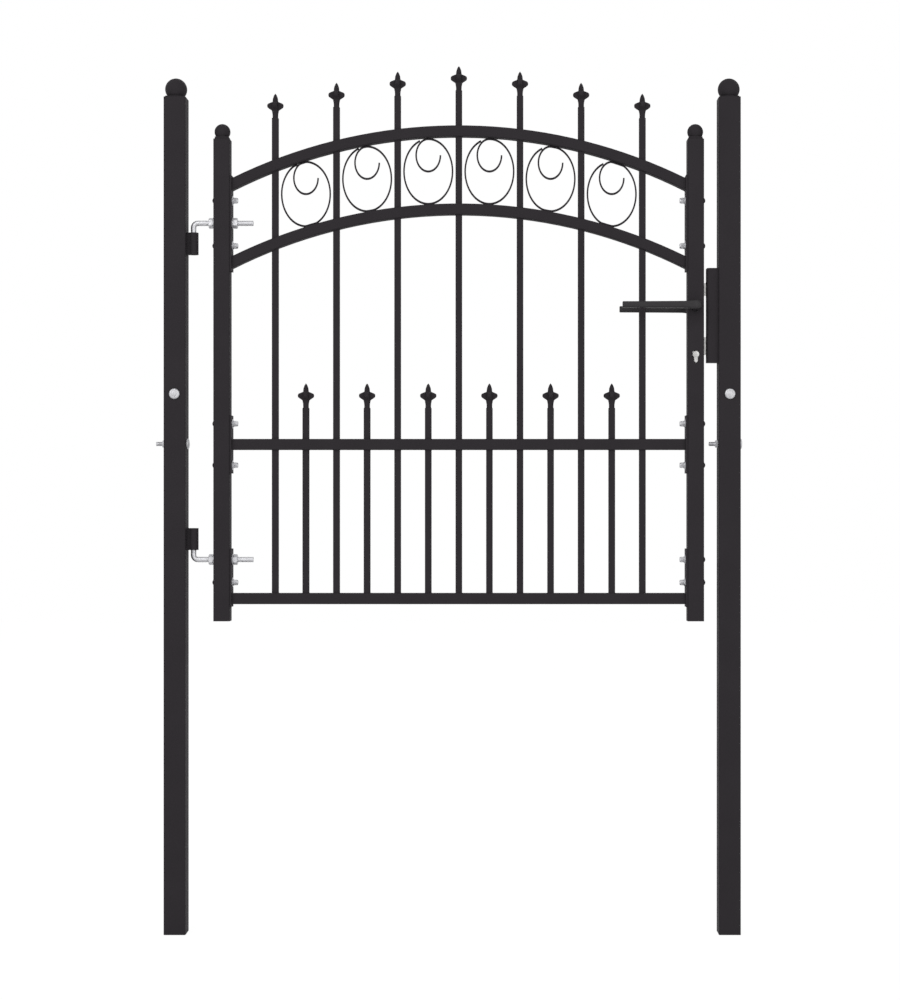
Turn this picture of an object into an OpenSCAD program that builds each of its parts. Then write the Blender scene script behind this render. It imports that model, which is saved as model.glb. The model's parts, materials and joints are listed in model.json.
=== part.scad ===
// Spear-top steel garden gate: one leaf hung between two square posts.
// X runs from the hinge post to the latch post, Y runs away from the front and Z is up.
// The origin is the middle of the hinge post's foot. All sizes are in millimetres.

/* [Posts] */
// Outer width of each square post
post_w = 40; // [36:1:60]
// Wall of the post tube
post_wall = 1.5; // [1.2:0.1:3]
// Length of each post tube from foot to top
post_h = 1530; // [1200:5:2200]
// Clear width between the two posts
clear_w = 973.5; // [760:0.5:1400]
// Radius of the ball on each post
post_ball_r = 20; // [16:0.5:30]

/* [Leaf frame] */
// Outer width of the two square stiles
stile_w = 30; // [26:1:40]
// Wall of the stile tube
stile_wall = 1.5; // [1.2:0.1:2.5]
// Length of each stile
stile_h = 882; // [860:1:1300]
// Drop from the post tops to the stile tops
stile_drop = 76; // [20:1:200]
// Gap between the hinge post and its stile, filled by the hinges
hinge_gap = 50; // [46:1:80]
// Gap between the latch post and its stile, filled by the keeper
latch_gap = 26.5; // [22:0.5:40]
// Radius of the ball on each stile
stile_ball_r = 14.5; // [12:0.5:22]

/* [Rails] */
// Outer width of the square rails and arches
rail_w = 20; // [18:1:26]
// Wall of the rail tube
rail_wall = 1.2; // [1:0.1:2]
// Height of the bottom rail above the stile feet
bottom_rail_lift = 31; // [10:1:80]
// Rise from the bottom rail to the middle rail, underside to underside
middle_rail_rise = 282.5; // [200:0.5:330]
// Height of the upper arch's crown above the stile tops
crown_over = 25.5; // [0:0.5:80]
// Rise of each arch from its ends to its crown
arch_rise = 96.5; // [70:0.5:140]
// Distance from the upper arch down to the lower one
arch_drop = 143; // [120:1:170]

/* [Bars and spears] */
// Outer width of the square bars
bar_w = 12; // [10:0.5:16]
// Wall of the bar tube
bar_wall = 1; // [0.8:0.1:1.5]
// Clear gap between an end plate and the first long bar
side_gap = 73; // [50:1:100]
// Height of the middle long bar above the crown of the upper arch
long_bar_over = 64.5; // [45:0.5:120]
// Height of the short bars above the middle rail
short_bar_over = 56.5; // [30:0.5:120]
// Height of a spear above the top of its bar
spear_h = 45.5; // [40:0.5:60]
// Reach of a spear's four lobes from its middle
spear_reach = 15.2; // [12:0.2:22]

/* [Scrolls] */
// Diameter of the scroll wire at the scroll's sides
wire_d = 2.8; // [2:0.1:5]
// Thickness of the wire at the scroll's top and foot, as a multiple of its diameter
wire_spread = 1.3; // [1:0.05:1.5]
// Clear gap between a scroll and the bars beside it
scroll_side = 4; // [1:0.5:15]
// Size of the inner loop as a part of the outer one
loop_share = 0.5; // [0.4:0.01:0.55]

/* [End plates and bolts] */
// Thickness of the end plates welded to the rails
plate_t = 3; // [2:0.5:5]
// Diameter of the bolts through stiles and plates
bolt_d = 6; // [5:1:8]
// Distance of the upper bolts above and below the upper hinge rod's level leg
upper_bolt_off = 41.5; // [30:0.5:60]
// Distance of the middle bolts above and below the middle rail's axis
middle_bolt_off = 38; // [25:1:60]
// Height of the lowest bolts above the bottom rail's axis
low_bolt_off = 29.5; // [25:0.5:40]
// Diameter of the bolts through the posts
post_bolt_d = 8; // [6:1:10]

/* [Hinges] */
// Diameter of the bent hinge rods
rod_d = 10; // [8:1:12]
// Distance of the hinge axis from the post's face
pin_off = 12; // [10.5:0.5:20]
// Outer diameter of the hinge barrels
barrel_d = 18; // [15:0.5:20]
// Height of the hinge barrels
barrel_h = 40; // [30:1:60]
// Height of the lower hinge rod above the bottom rail's axis
low_rod_off = 71.5; // [60:0.5:90]

/* [Lock] */
// Drop from the stile top to the lever's axis
lever_drop = 306; // [290:0.5:400]
// Distance from the lever's axis down to the key cylinder
lock_centres = 88; // [76:1:92]
// Length of the levers from their axis
lever_len = 136; // [90:1:150]
// Distance from the stile's face to the middle of the lever's grip
lever_stand = 30; // [24:1:45]
// Depth of the keeper box from the post's face
keeper_d = 21; // [16:1:24]
// Travel of the latch bolt
latch_throw = 11; // [6:0.5:13]
// Travel of the deadbolt
dead_throw = 14; // [8:0.5:15]

/* [Hidden] */

// Clearances
fit = 0.3;            // around bolts, rods and bars in their holes
slide = 0.4;          // around the sliding bolts
cut = 1;              // how far a cutting solid runs past the face it cuts

// Outer corner radius of a cold-formed tube, as a multiple of its wall
corner_share = 1.5;

// Places along X
pin_x = post_w / 2 + pin_off;
latch_post_x = post_w + clear_w;
leaf_x0 = post_w / 2 + hinge_gap;
leaf_x1 = latch_post_x - post_w / 2 - latch_gap;
leaf_mid = (leaf_x0 + leaf_x1) / 2;
hinge_stile_x = leaf_x0 + stile_w / 2;
latch_stile_x = leaf_x1 - stile_w / 2;
rail_x0 = leaf_x0 + stile_w + plate_t;
rail_x1 = leaf_x1 - stile_w - plate_t;
rail_half = (rail_x1 - rail_x0) / 2;

// Places along Z
leaf_z0 = post_h - stile_drop - stile_h;
leaf_z1 = leaf_z0 + stile_h;
bottom_rail_z = leaf_z0 + bottom_rail_lift;
middle_rail_z = bottom_rail_z + middle_rail_rise;
crown_z = leaf_z1 + crown_over;

// Arches: both follow one radius, which the rise and the span set
arch_r = (rail_half * rail_half + arch_rise * arch_rise) / (2 * arch_rise);
arch_angle = asin(rail_half / arch_r) + 3;

// Bars
long_bars = 7;
short_bars = long_bars - 1;
bar_pitch = (2 * rail_half - 2 * side_gap - bar_w) / (long_bars - 1);
bar_steps = [0, 10, 30.5, 50.5];  // drop of each bar below the middle one, counted outwards
bar_z0 = bottom_rail_z + rail_wall;
long_bar_z1 = crown_z + long_bar_over;
short_bar_z1 = middle_rail_z + rail_w + short_bar_over;

// End plates: lowest and highest points
plate_margin = 5;
upper_plate = [arch_end(crown_z - arch_drop) - rail_w / cos(asin(rail_half / arch_r)) - plate_margin,
               arch_end(crown_z) + plate_margin];
middle_plate = [middle_rail_z - plate_margin - middle_bolt_off, middle_rail_z + rail_w + plate_margin
                + middle_bolt_off];
bottom_plate = [bottom_rail_z - plate_margin, bottom_rail_z + rail_w / 2 + low_rod_off + 20];
upper_plate_mid = (upper_plate[0] + upper_plate[1]) / 2;

// Heights of the fastenings in the stiles
top_rod_rise = 0.8;                  // top rod above the middle of the upper plate
top_rod_z = upper_plate_mid + top_rod_rise;
bottom_rod_z = bottom_rail_z + rail_w / 2 + low_rod_off;
shared_bolt_z = [top_rod_z + upper_bolt_off, top_rod_z - upper_bolt_off,
                 middle_rail_z + rail_w / 2 + middle_bolt_off, middle_rail_z + rail_w / 2 - middle_bolt_off,
                 bottom_rail_z + rail_w / 2 + low_bolt_off];
latch_bolt_z = concat(shared_bolt_z, [bottom_rod_z]);

// Bolt proportions
bolt_head_d = 1.9 * bolt_d;
bolt_head_h = 0.6 * bolt_d;
bolt_washer_d = 2.6 * bolt_d;
bolt_washer_t = 1.6;
bolt_nut_w = 10 / 6 * bolt_d;
bolt_nut_h = 5 / 6 * bolt_d;
bolt_tail = 4;
post_bolt_head_d = 2.5 * post_bolt_d;
post_bolt_head_h = 0.6 * post_bolt_d;
post_bolt_nut_w = 13 / 8 * post_bolt_d;
post_bolt_nut_h = 5 / 8 * post_bolt_d;
post_bolt_tail = 11.5;
post_front_bolt_drop = 542.6;        // from the post's top
post_side_bolt_drop = 633.5;
post_front_bolt_z = post_h - post_front_bolt_drop;
post_side_bolt_z = post_h - post_side_bolt_drop;

// Hinge rods
rod_bend = 8;                        // radius of the bend, to the rod's middle
rod_over = 17.6;                     // from the barrel's end to the rod's level leg
rod_leg = rod_over + barrel_h - 5;   // from the level leg to the end of the pin
rod_x1 = rail_x0 + 39;
rod_nut_w = 1.7 * rod_d;
rod_nut_h = 0.8 * rod_d;
lug_depth = 0.75 * barrel_d;

// Lock
lever_z = leaf_z1 - lever_drop;
cylinder_z = lever_z - lock_centres;
lock_x = latch_stile_x;
lock_low = 22;                       // lock case below the cylinder's axis
lock_high = 66;                      // lock case above the lever's axis
case_z0 = cylinder_z - lock_low;
case_z1 = lever_z + lock_high;
case_w = stile_w - 2 * stile_wall - 2 * fit;
case_depth = 20;
forend_w = 18;
cylinder_r = 7.2;
cylinder_slot_w = 7;
cylinder_drop = 12.4;                // from the cylinder's axis to the slot's round end
cylinder_stand = 2;
spindle_w = 8;
spindle_hole_r = 6.2;
bolt_t = 12;                         // thickness of both sliding bolts along Y
latch_z = [lever_z + 20, lever_z + 43];
dead_z = [cylinder_z, cylinder_z + 32];
dead_tail_z = [cylinder_z + cylinder_r + 2.8, cylinder_z + 30];
bolt_out = 4;                        // how far the drawn bolts' noses stand in the gap
bolt_x1 = leaf_x1 + bolt_out;
bolt_guide = 11;                     // length of a thrown bolt that stays in the lock
latch_x0 = bolt_x1 - latch_throw - bolt_guide;
dead_x0 = bolt_x1 - dead_throw - bolt_guide;
keeper_z = [cylinder_z - 14.5, case_z1 + 3.8];
keeper_w = 28;
keeper_t = 2;
keeper_corner = 5;                   // outer radius of the keeper's two upright folds
keeper_x0 = latch_post_x - post_w / 2 - keeper_d;

// Height of an arch's top face, x from the middle of the leaf
function arch_top(top_z, x) = top_z - arch_r + sqrt(arch_r * arch_r - x * x);
function arch_under(top_z, x) = top_z - arch_r + sqrt(pow(arch_r - rail_w, 2) - x * x);
function arch_end(top_z) = arch_top(top_z, rail_half);
function long_bar_x(i) = leaf_mid + (i - (long_bars + 1) / 2) * bar_pitch;
function short_bar_x(i) = leaf_mid + (i - (short_bars + 1) / 2) * bar_pitch;
function long_bar_top(i) = long_bar_z1 - bar_steps[abs(i - (long_bars + 1) / 2)];

black = "#2b292b";
zinc = "#b9bcc0";

// Square with round corners, about the origin
module round_square(w, r) {
    square([w, w - 2 * r], center = true);
    square([w - 2 * r, w], center = true);
    for (x = [-1, 1], y = [-1, 1]) translate([x, y] * (w / 2 - r)) circle(r = r, $fn = 24);
}

// Section of a square tube whose corners are bent round
module tube_section(w, wall) {
    corner = corner_share * wall;
    difference() {
        round_square(w, corner);
        round_square(w - 2 * wall, corner - wall);
    }
}

// Square tube standing on z = 0
module square_tube(w, wall, h) {
    linear_extrude(height = h) tube_section(w, wall);
}

// Level hole of diameter d at height z, along X or along Y, through a tube of width w
module hole_x(z, d, w) {
    translate([-w / 2 - cut, 0, z]) rotate([0, 90, 0]) cylinder(h = w + 2 * cut, d = d, $fn = 32);
}

module hole_y(z, d, w) {
    translate([0, w / 2 + cut, z]) rotate([90, 0, 0]) cylinder(h = w + 2 * cut, d = d, $fn = 32);
}

// Cup-head bolt along +Z: the head's seat is at z = 0, and the nut's seat at z = grip
module cup_bolt(d, head_d, head_h, grip, nut_w, nut_h, tail) {
    dome_r = (head_d * head_d / 4 + head_h * head_h) / (2 * head_h);
    intersection() {
        translate([0, 0, dome_r - head_h]) sphere(r = dome_r, $fn = 48);
        translate([0, 0, -head_h]) cylinder(h = head_h, d = head_d + 2, $fn = 48);
    }
    cylinder(h = grip + nut_h + tail, d = d, $fn = 32);
    translate([0, 0, grip]) cylinder(h = nut_h, d = nut_w / cos(30), $fn = 6);
}

// Ball cap that closes a square tube whose top is at z = 0
module ball_cap(w, wall, ball_r, ball_lift, plate_w, plate_h, neck_r, neck_h) {
    skirt_w = w - 2 * wall - 2 * fit;
    skirt_h = w / 2;
    skirt_wall = 2;
    linear_extrude(height = plate_h) round_square(plate_w, skirt_wall);
    translate([0, 0, -skirt_h]) square_tube(skirt_w, skirt_wall, skirt_h + plate_h / 2);
    cylinder(h = plate_h + neck_h + 1, r = neck_r, $fn = 48);
    difference() {
        translate([0, 0, ball_lift]) sphere(r = ball_r, $fn = 64);
        translate([-ball_r, -ball_r, ball_lift - 2 * ball_r])
            cube([2 * ball_r, 2 * ball_r, 2 * ball_r - ball_lift + plate_h + neck_h]);
    }
}

module post() {
    difference() {
        square_tube(post_w, post_wall, post_h);
        hole_y(post_front_bolt_z, post_bolt_d + fit, post_w);
        hole_x(post_side_bolt_z, post_bolt_d + fit, post_w);
    }
}

module post_cap() {
    translate([0, 0, post_h])
        ball_cap(post_w, post_wall, post_ball_r, post_ball_r - 3.5, post_w - 5, 2, post_ball_r - 5, 2);
}

module post_bolts() {
    translate([0, -post_w / 2, post_front_bolt_z]) rotate([-90, 0, 0])
        cup_bolt(post_bolt_d, post_bolt_head_d, post_bolt_head_h, post_w,
                 post_bolt_nut_w, post_bolt_nut_h, post_bolt_tail);
    translate([post_w / 2, 0, post_side_bolt_z]) rotate([0, -90, 0])
        cup_bolt(post_bolt_d, post_bolt_head_d, post_bolt_head_h, post_w,
                 post_bolt_nut_w, post_bolt_nut_h, post_bolt_tail);
}

module hinge_post() { color(black) post(); }
module latch_post() { color(black) translate([latch_post_x, 0, 0]) post(); }
module hinge_post_cap() { color(black) post_cap(); }
module latch_post_cap() { color(black) translate([latch_post_x, 0, 0]) post_cap(); }
module hinge_post_bolts() { color(zinc) post_bolts(); }
module latch_post_bolts() { color(zinc) translate([latch_post_x, 0, 0]) post_bolts(); }

// Hinge barrel with the lug that joins it to the post; it stands on z = 0
module hinge_barrel() {
    difference() {
        union() {
            translate([post_w / 2, -lug_depth / 2, 0]) cube([pin_off - rod_d / 2, lug_depth, barrel_h]);
            translate([pin_x, 0, 0]) cylinder(h = barrel_h, d = barrel_d, $fn = 48);
        }
        translate([pin_x, 0, -cut]) cylinder(h = barrel_h + 2 * cut, d = rod_d + 2 * fit, $fn = 48);
    }
}

module top_hinge_barrel() {
    color(black) translate([0, 0, top_rod_z - rod_over - barrel_h]) hinge_barrel();
}

module bottom_hinge_barrel() {
    color(black) translate([0, 0, bottom_rod_z + rod_over]) hinge_barrel();
}

// Bent rod: a level leg along +X from the bend, and a pin that points down
module bent_rod() {
    translate([0, 0, -rod_leg]) cylinder(h = rod_leg - rod_bend, d = rod_d, $fn = 48);
    translate([rod_bend, 0, -rod_bend]) rotate([90, 0, 0]) rotate([0, 0, 90])
        rotate_extrude(angle = 90, $fn = 64) translate([rod_bend, 0]) circle(d = rod_d, $fn = 48);
    translate([rod_bend, 0, 0]) rotate([0, 90, 0])
        cylinder(h = rod_x1 - pin_x - rod_bend, d = rod_d, $fn = 48);
}

module top_hinge_rod() { color(zinc) translate([pin_x, 0, top_rod_z]) bent_rod(); }

module bottom_hinge_rod() {
    color(zinc) translate([pin_x, 0, bottom_rod_z]) mirror([0, 0, 1]) bent_rod();
}

module rod_nut(x, z) {
    translate([x, 0, z]) rotate([0, 90, 0]) difference() {
        cylinder(h = rod_nut_h, d = rod_nut_w / cos(30), $fn = 6);
        translate([0, 0, -cut]) cylinder(h = rod_nut_h + 2 * cut, d = rod_d + fit, $fn = 48);
    }
}

module hinge_rod_nuts() {
    color(zinc) for (z = [top_rod_z, bottom_rod_z]) {
        rod_nut(leaf_x0 - rod_nut_h, z);
        rod_nut(rail_x0, z);
    }
}

// Stiles with the holes for their bolts
module stile(holes_z) {
    difference() {
        translate([0, 0, leaf_z0]) square_tube(stile_w, stile_wall, stile_h);
        for (z = holes_z) hole_x(z, bolt_d + fit, stile_w);
    }
}

module stile_cap() {
    translate([0, 0, leaf_z1])
        ball_cap(stile_w, stile_wall, stile_ball_r, stile_ball_r, stile_w - 5, 4.5,
                 stile_ball_r - 3, 0.5);
}

module hinge_stile() {
    color(black) translate([hinge_stile_x, 0, 0]) difference() {
        stile(shared_bolt_z);
        hole_x(top_rod_z, rod_d + fit, stile_w);
        hole_x(bottom_rod_z, rod_d + fit, stile_w);
    }
}

// Outline of the key cylinder: a round head over a slot with a round end
module cylinder_profile(clear) {
    circle(r = cylinder_r + clear, $fn = 48);
    translate([-cylinder_slot_w / 2 - clear, -cylinder_drop])
        square([cylinder_slot_w + 2 * clear, cylinder_drop]);
    translate([0, -cylinder_drop]) circle(d = cylinder_slot_w + 2 * clear, $fn = 48);
}

module cylinder_bar(clear, half_len) {
    translate([0, half_len, cylinder_z]) rotate([90, 0, 0])
        linear_extrude(height = 2 * half_len) cylinder_profile(clear);
}

module latch_stile() {
    color(black) translate([latch_stile_x, 0, 0]) difference() {
        stile(latch_bolt_z);
        cylinder_bar(fit, stile_w);
        hole_y(lever_z, 2 * spindle_hole_r, stile_w);
        translate([0, -forend_w / 2 - fit, case_z0 - fit])
            cube([stile_w, forend_w + 2 * fit, case_z1 - case_z0 + 2 * fit]);
    }
}

module hinge_stile_cap() { color(black) translate([hinge_stile_x, 0, 0]) stile_cap(); }
module latch_stile_cap() { color(black) translate([latch_stile_x, 0, 0]) stile_cap(); }

// End plate from z0 to z1 whose outer face is at x
module end_plate(x, z, holes_z, rods_z) {
    difference() {
        translate([x, -stile_w / 2, z[0]]) cube([plate_t, stile_w, z[1] - z[0]]);
        for (h = holes_z) translate([x, 0, 0]) hole_x(h, bolt_d + fit, 3 * plate_t);
        for (h = rods_z) translate([x, 0, 0]) hole_x(h, rod_d + fit, 3 * plate_t);
    }
}

module hinge_end_plates() {
    x = leaf_x0 + stile_w;
    color(black) {
        end_plate(x, upper_plate, shared_bolt_z, [top_rod_z]);
        end_plate(x, middle_plate, shared_bolt_z, []);
        end_plate(x, bottom_plate, shared_bolt_z, [bottom_rod_z]);
    }
}

module latch_end_plates() {
    x = rail_x1;
    color(black) {
        end_plate(x, upper_plate, latch_bolt_z, []);
        end_plate(x, middle_plate, latch_bolt_z, []);
        end_plate(x, bottom_plate, latch_bolt_z, []);
    }
}

module stile_bolt() {
    grip = stile_w + plate_t;
    cup_bolt(bolt_d, bolt_head_d, bolt_head_h, grip + bolt_washer_t, bolt_nut_w, bolt_nut_h, bolt_tail);
    translate([0, 0, grip]) cylinder(h = bolt_washer_t, d = bolt_washer_d, $fn = 48);
}

module hinge_stile_bolts() {
    color(zinc) for (z = shared_bolt_z) translate([leaf_x0, 0, z]) rotate([0, 90, 0]) stile_bolt();
}

module latch_stile_bolts() {
    color(zinc) for (z = latch_bolt_z) translate([leaf_x1, 0, z]) rotate([0, -90, 0]) stile_bolt();
}

// Upright square holes for the bars that stand in a rail
module bar_holes(xs, z0, z1) {
    hole_w = bar_w + fit;
    for (x = xs) translate([x - hole_w / 2, -hole_w / 2, z0]) cube([hole_w, hole_w, z1 - z0]);
}

long_xs = [for (i = [1:long_bars]) long_bar_x(i)];
short_xs = [for (i = [1:short_bars]) short_bar_x(i)];

module straight_rail(z) {
    translate([rail_x0, 0, z + rail_w / 2]) rotate([0, 90, 0])
        square_tube(rail_w, rail_wall, rail_x1 - rail_x0);
}

module middle_rail() {
    color(black) difference() {
        straight_rail(middle_rail_z);
        bar_holes(concat(long_xs, short_xs), middle_rail_z - cut, middle_rail_z + rail_w + cut);
    }
}

module bottom_rail() {
    color(black) difference() {
        straight_rail(bottom_rail_z);
        bar_holes(concat(long_xs, short_xs), bar_z0, bottom_rail_z + rail_w + cut);
    }
}

// Arched tube whose crown is at top_z
module arch_rail(top_z) {
    difference() {
        intersection() {
            translate([leaf_mid, 0, top_z - arch_r]) rotate([90, 0, 0]) rotate([0, 0, 90 - arch_angle])
                rotate_extrude(angle = 2 * arch_angle, $fn = 360)
                    translate([arch_r - rail_w / 2, 0]) tube_section(rail_w, rail_wall);
            translate([rail_x0, -rail_w, top_z - arch_r]) cube([2 * rail_half, 2 * rail_w, arch_r + cut]);
        }
        bar_holes(long_xs, top_z - 2 * arch_rise, top_z + cut);
    }
}

module upper_arch_rail() { color(black) arch_rail(crown_z); }
module lower_arch_rail() { color(black) arch_rail(crown_z - arch_drop); }

module bar(x, z1) {
    color(black) translate([x, 0, bar_z0]) square_tube(bar_w, bar_wall, z1 - bar_z0);
}

module long_bar(i) { bar(long_bar_x(i), long_bar_top(i)); }
module short_bar(i) { bar(short_bar_x(i), short_bar_z1); }

// Spear that stands on a bar whose top is at z = 0: a waisted neck, four petals and a lance
petal_r = 4.3;        // radius of a petal's round end, seen from the front
petal_t = 8;          // thickness of a petal
lance_r = 5.3;        // reach of the lance's four edges at its foot
lance_h = 15.5;
petal_top = spear_h - 15.2;
petal_mid = spear_h - 22.3;
petal_low = spear_h - 26;
neck_r = bar_w / 2 - 0.85;
neck_h = spear_h - 31.5;

module spear_neck() {
    rotate_extrude($fn = 32)
        polygon([[0, 0], [neck_r, 0], [neck_r, 0.5 * neck_h], [neck_r + 0.4, 0.7 * neck_h],
                 [neck_r + 1.1, neck_h], [0, neck_h + 2]]);
    translate([0, 0, -bar_w]) cylinder(h = bar_w + 1, r = bar_w / 2 - bar_wall - fit / 2, $fn = 32);
}

// Petals: the outline turned round the middle, cut to a cross with round ends
module spear_petals() {
    mid_r = spear_reach - petal_r;
    intersection() {
        rotate_extrude($fn = 64) {
            polygon([[0, neck_h - 1], [neck_r, neck_h], [mid_r + 2.5, petal_low],
                     [mid_r + 1.3, petal_mid + petal_r - 0.2], [lance_r - 0.3, petal_top], [0, petal_top]]);
            translate([mid_r, petal_mid]) circle(r = petal_r, $fn = 32);
        }
        translate([0, 0, neck_h - 1]) linear_extrude(height = petal_top - neck_h + 2) {
            square([2 * (spear_reach - petal_t / 2), petal_t], center = true);
            square([petal_t, 2 * (spear_reach - petal_t / 2)], center = true);
            for (a = [0:90:270]) rotate([0, 0, a])
                translate([spear_reach - petal_t / 2, 0]) circle(d = petal_t, $fn = 32);
        }
    }
}

// One pair of the lance's faces, as a slab with the lance's pointed outline
module lance_slab() {
    w = lance_r / sqrt(2);
    rotate([90, 0, 0]) linear_extrude(height = 4 * lance_r, center = true)
        polygon([[-w, -2], [w, -2], [w, 0], [0.86 * w, 0.43 * lance_h], [0.48 * w, 0.79 * lance_h],
                 [0, lance_h], [-0.48 * w, 0.79 * lance_h], [-0.86 * w, 0.43 * lance_h], [-w, 0]]);
}

module spear() {
    spear_neck();
    spear_petals();
    translate([0, 0, spear_h - lance_h]) intersection() {
        rotate([0, 0, 45]) lance_slab();
        rotate([0, 0, -45]) lance_slab();
    }
}

module long_spears() {
    color(black) for (i = [1:long_bars]) translate([long_bar_x(i), 0, long_bar_top(i)]) spear();
}

module short_spears() {
    color(black) for (i = [1:short_bars]) translate([short_bar_x(i), 0, short_bar_z1]) spear();
}

// Scroll: one wire that starts inside, runs three quarters round the inner loop to the top,
// and then round the outer ring until its end meets the inner loop or the arch
wire_sides = 8;
wire_steps = 72;
loop_turn = 270;
ring_gap = 22;        // angle between the ring's end and its top, where the ring meets the loop
weld_gap = 0.1;       // between the wire and the arch that it is welded to
wire_half = wire_d * wire_spread / 2;

// Point of the wire at turn t, from the ring's middle; the ring is a by b
function scroll_point(t, a, b) =
    t < loop_turn
    ? [loop_share * a * cos(t), b - loop_share * b - loop_share * b * sin(t)]
    : [a * sin(t - loop_turn), b * cos(t - loop_turn)];

// The same point at x from the leaf's middle, held between the two arches
function seated_point(p, x, mid_z) = let (
    lean = 1 / sqrt(1 - pow((x + p[0]) / arch_r, 2)),
    top = arch_under(crown_z, x + p[0]) - (wire_half + weld_gap) * lean,
    foot = arch_top(crown_z - arch_drop, x + p[0]) + (wire_half + weld_gap) * lean
) [p[0], min(max(p[1], foot - mid_z), top - mid_z)];

module scroll(a, b, off, mid_z) {
    slope = -off / sqrt(arch_r * arch_r - off * off);
    turn = loop_turn + 360 - max(ring_gap, 2 * atan(slope * a / b) + 1);
    points = [for (k = [0:wire_steps]) let (
        t = turn * k / wire_steps,
        p = seated_point(scroll_point(t, a, b), off, mid_z),
        q = seated_point(scroll_point(min(t + 1, turn), a, b), off, mid_z)
            - seated_point(scroll_point(max(t - 1, 0), a, b), off, mid_z),
        n = [-q[1], q[0]] / norm(q),
        half = wire_d / 2 * norm([n[0], n[1] * wire_spread])
    ) for (s = [0:wire_sides - 1]) let (u = half * cos(360 * s / wire_sides),
                                        v = wire_d / 2 * sin(360 * s / wire_sides))
        [p[0] + n[0] * u, v, p[1] + n[1] * u]];
    sides = [for (k = [0:wire_steps - 1]) for (s = [0:wire_sides - 1]) let (s2 = (s + 1) % wire_sides)
        [k * wire_sides + s, (k + 1) * wire_sides + s, (k + 1) * wire_sides + s2, k * wire_sides + s2]];
    ends = [[for (s = [0:wire_sides - 1]) s],
            [for (s = [wire_sides - 1:-1:0]) wire_steps * wire_sides + s]];
    translate([leaf_mid + off, 0, mid_z]) polyhedron(points, concat(sides, ends));
}

module scrolls() {
    a = (bar_pitch - bar_w) / 2 - scroll_side - wire_d / 2;
    color(black) for (x = short_xs) {
        off = x - leaf_mid;
        top = arch_under(crown_z, off);
        foot = arch_top(crown_z - arch_drop, off);
        scroll(a, (top - foot) / 2 - wire_half - weld_gap, off, (top + foot) / 2);
    }
}

// Keeper: a folded box on the latch post with a window for each bolt
module keeper_window(z) {
    translate([keeper_x0 - cut, -bolt_t / 2 - 2, z[0] - 3])
        cube([keeper_t + 2 * cut, bolt_t + 4, z[1] - z[0] + 6]);
}

// Plan of the keeper: its front half is rounded at the folds, and its back lies on the post
module keeper_plan(w, depth, r) {
    translate([r, -w / 2]) square([depth - r, w]);
    translate([0, r - w / 2]) square([depth, w - 2 * r]);
    for (y = [r - w / 2, w / 2 - r]) translate([r, y]) circle(r = r, $fn = 32);
}

module keeper() {
    color(black) difference() {
        translate([keeper_x0, 0, keeper_z[0]]) linear_extrude(height = keeper_z[1] - keeper_z[0])
            keeper_plan(keeper_w, keeper_d, keeper_corner);
        translate([keeper_x0 + keeper_t, 0, keeper_z[0] + keeper_t])
            linear_extrude(height = keeper_z[1] - keeper_z[0] - 2 * keeper_t)
                keeper_plan(keeper_w - 2 * keeper_t, keeper_d, keeper_corner - keeper_t);
        keeper_window(latch_z);
        keeper_window(dead_z);
    }
}

// Channel for a sliding bolt between two heights
module bolt_channel(z, x0) {
    translate([x0, -bolt_t / 2 - slide, z[0] - slide])
        cube([stile_w, bolt_t + 2 * slide, z[1] - z[0] + 2 * slide]);
}

module lock_case() {
    nose_x = lock_x + cylinder_r + 0.6;
    color(zinc) difference() {
        union() {
            translate([lock_x - case_w / 2, -case_depth / 2, case_z0])
                cube([case_w, case_depth, case_z1 - case_z0]);
            translate([lock_x, -forend_w / 2, case_z0])
                cube([stile_w / 2, forend_w, case_z1 - case_z0]);
        }
        bolt_channel(latch_z, latch_x0 - slide);
        bolt_channel(dead_tail_z, dead_x0 - slide);
        bolt_channel(dead_z, nose_x);
        translate([lock_x, 0, 0]) cylinder_bar(fit, stile_w);
        translate([lock_x, 0, 0]) hole_y(lever_z, 2 * spindle_hole_r, stile_w);
    }
}

module lock_cylinder() {
    color(zinc) translate([lock_x, 0, 0]) cylinder_bar(0, stile_w / 2 + cylinder_stand);
}

module latch_bolt() {
    bevel = 8;
    color(zinc) translate([0, 0, latch_z[0]]) linear_extrude(height = latch_z[1] - latch_z[0])
        polygon([[latch_x0, -bolt_t / 2], [bolt_x1, -bolt_t / 2], [bolt_x1, bolt_t / 2 - bevel],
                 [bolt_x1 - bevel, bolt_t / 2], [latch_x0, bolt_t / 2]]);
}

module deadbolt() {
    nose_x = lock_x + cylinder_r + 1;
    color(zinc) union() {
        translate([dead_x0, -bolt_t / 2, dead_tail_z[0]])
            cube([bolt_x1 - dead_x0, bolt_t, dead_tail_z[1] - dead_tail_z[0]]);
        translate([nose_x, -bolt_t / 2, dead_z[0]])
            cube([bolt_x1 - nose_x, bolt_t, dead_z[1] - dead_z[0]]);
    }
}

// Lever on the front: a round neck, a rounded elbow and a flat grip towards the hinge side
lever_neck_r = 9.5;
lever_grip_h = 12;    // height of the grip beside the neck
lever_tip_h = 10;
lever_tip_cut = 1.5;  // slant of the grip's end
lever_grip_t = 9;
lever_bend = 5;       // inner radius of the elbow

// The lever seen from the front, from its axis
module lever_elevation() {
    circle(r = lever_neck_r, $fn = 48);
    polygon([[0, -lever_grip_h / 2], [0, lever_grip_h / 2], [-lever_len / 3, lever_grip_h / 2],
             [lever_tip_cut - lever_len, lever_tip_h / 2], [-lever_len, -lever_tip_h / 2]]);
}

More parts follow.
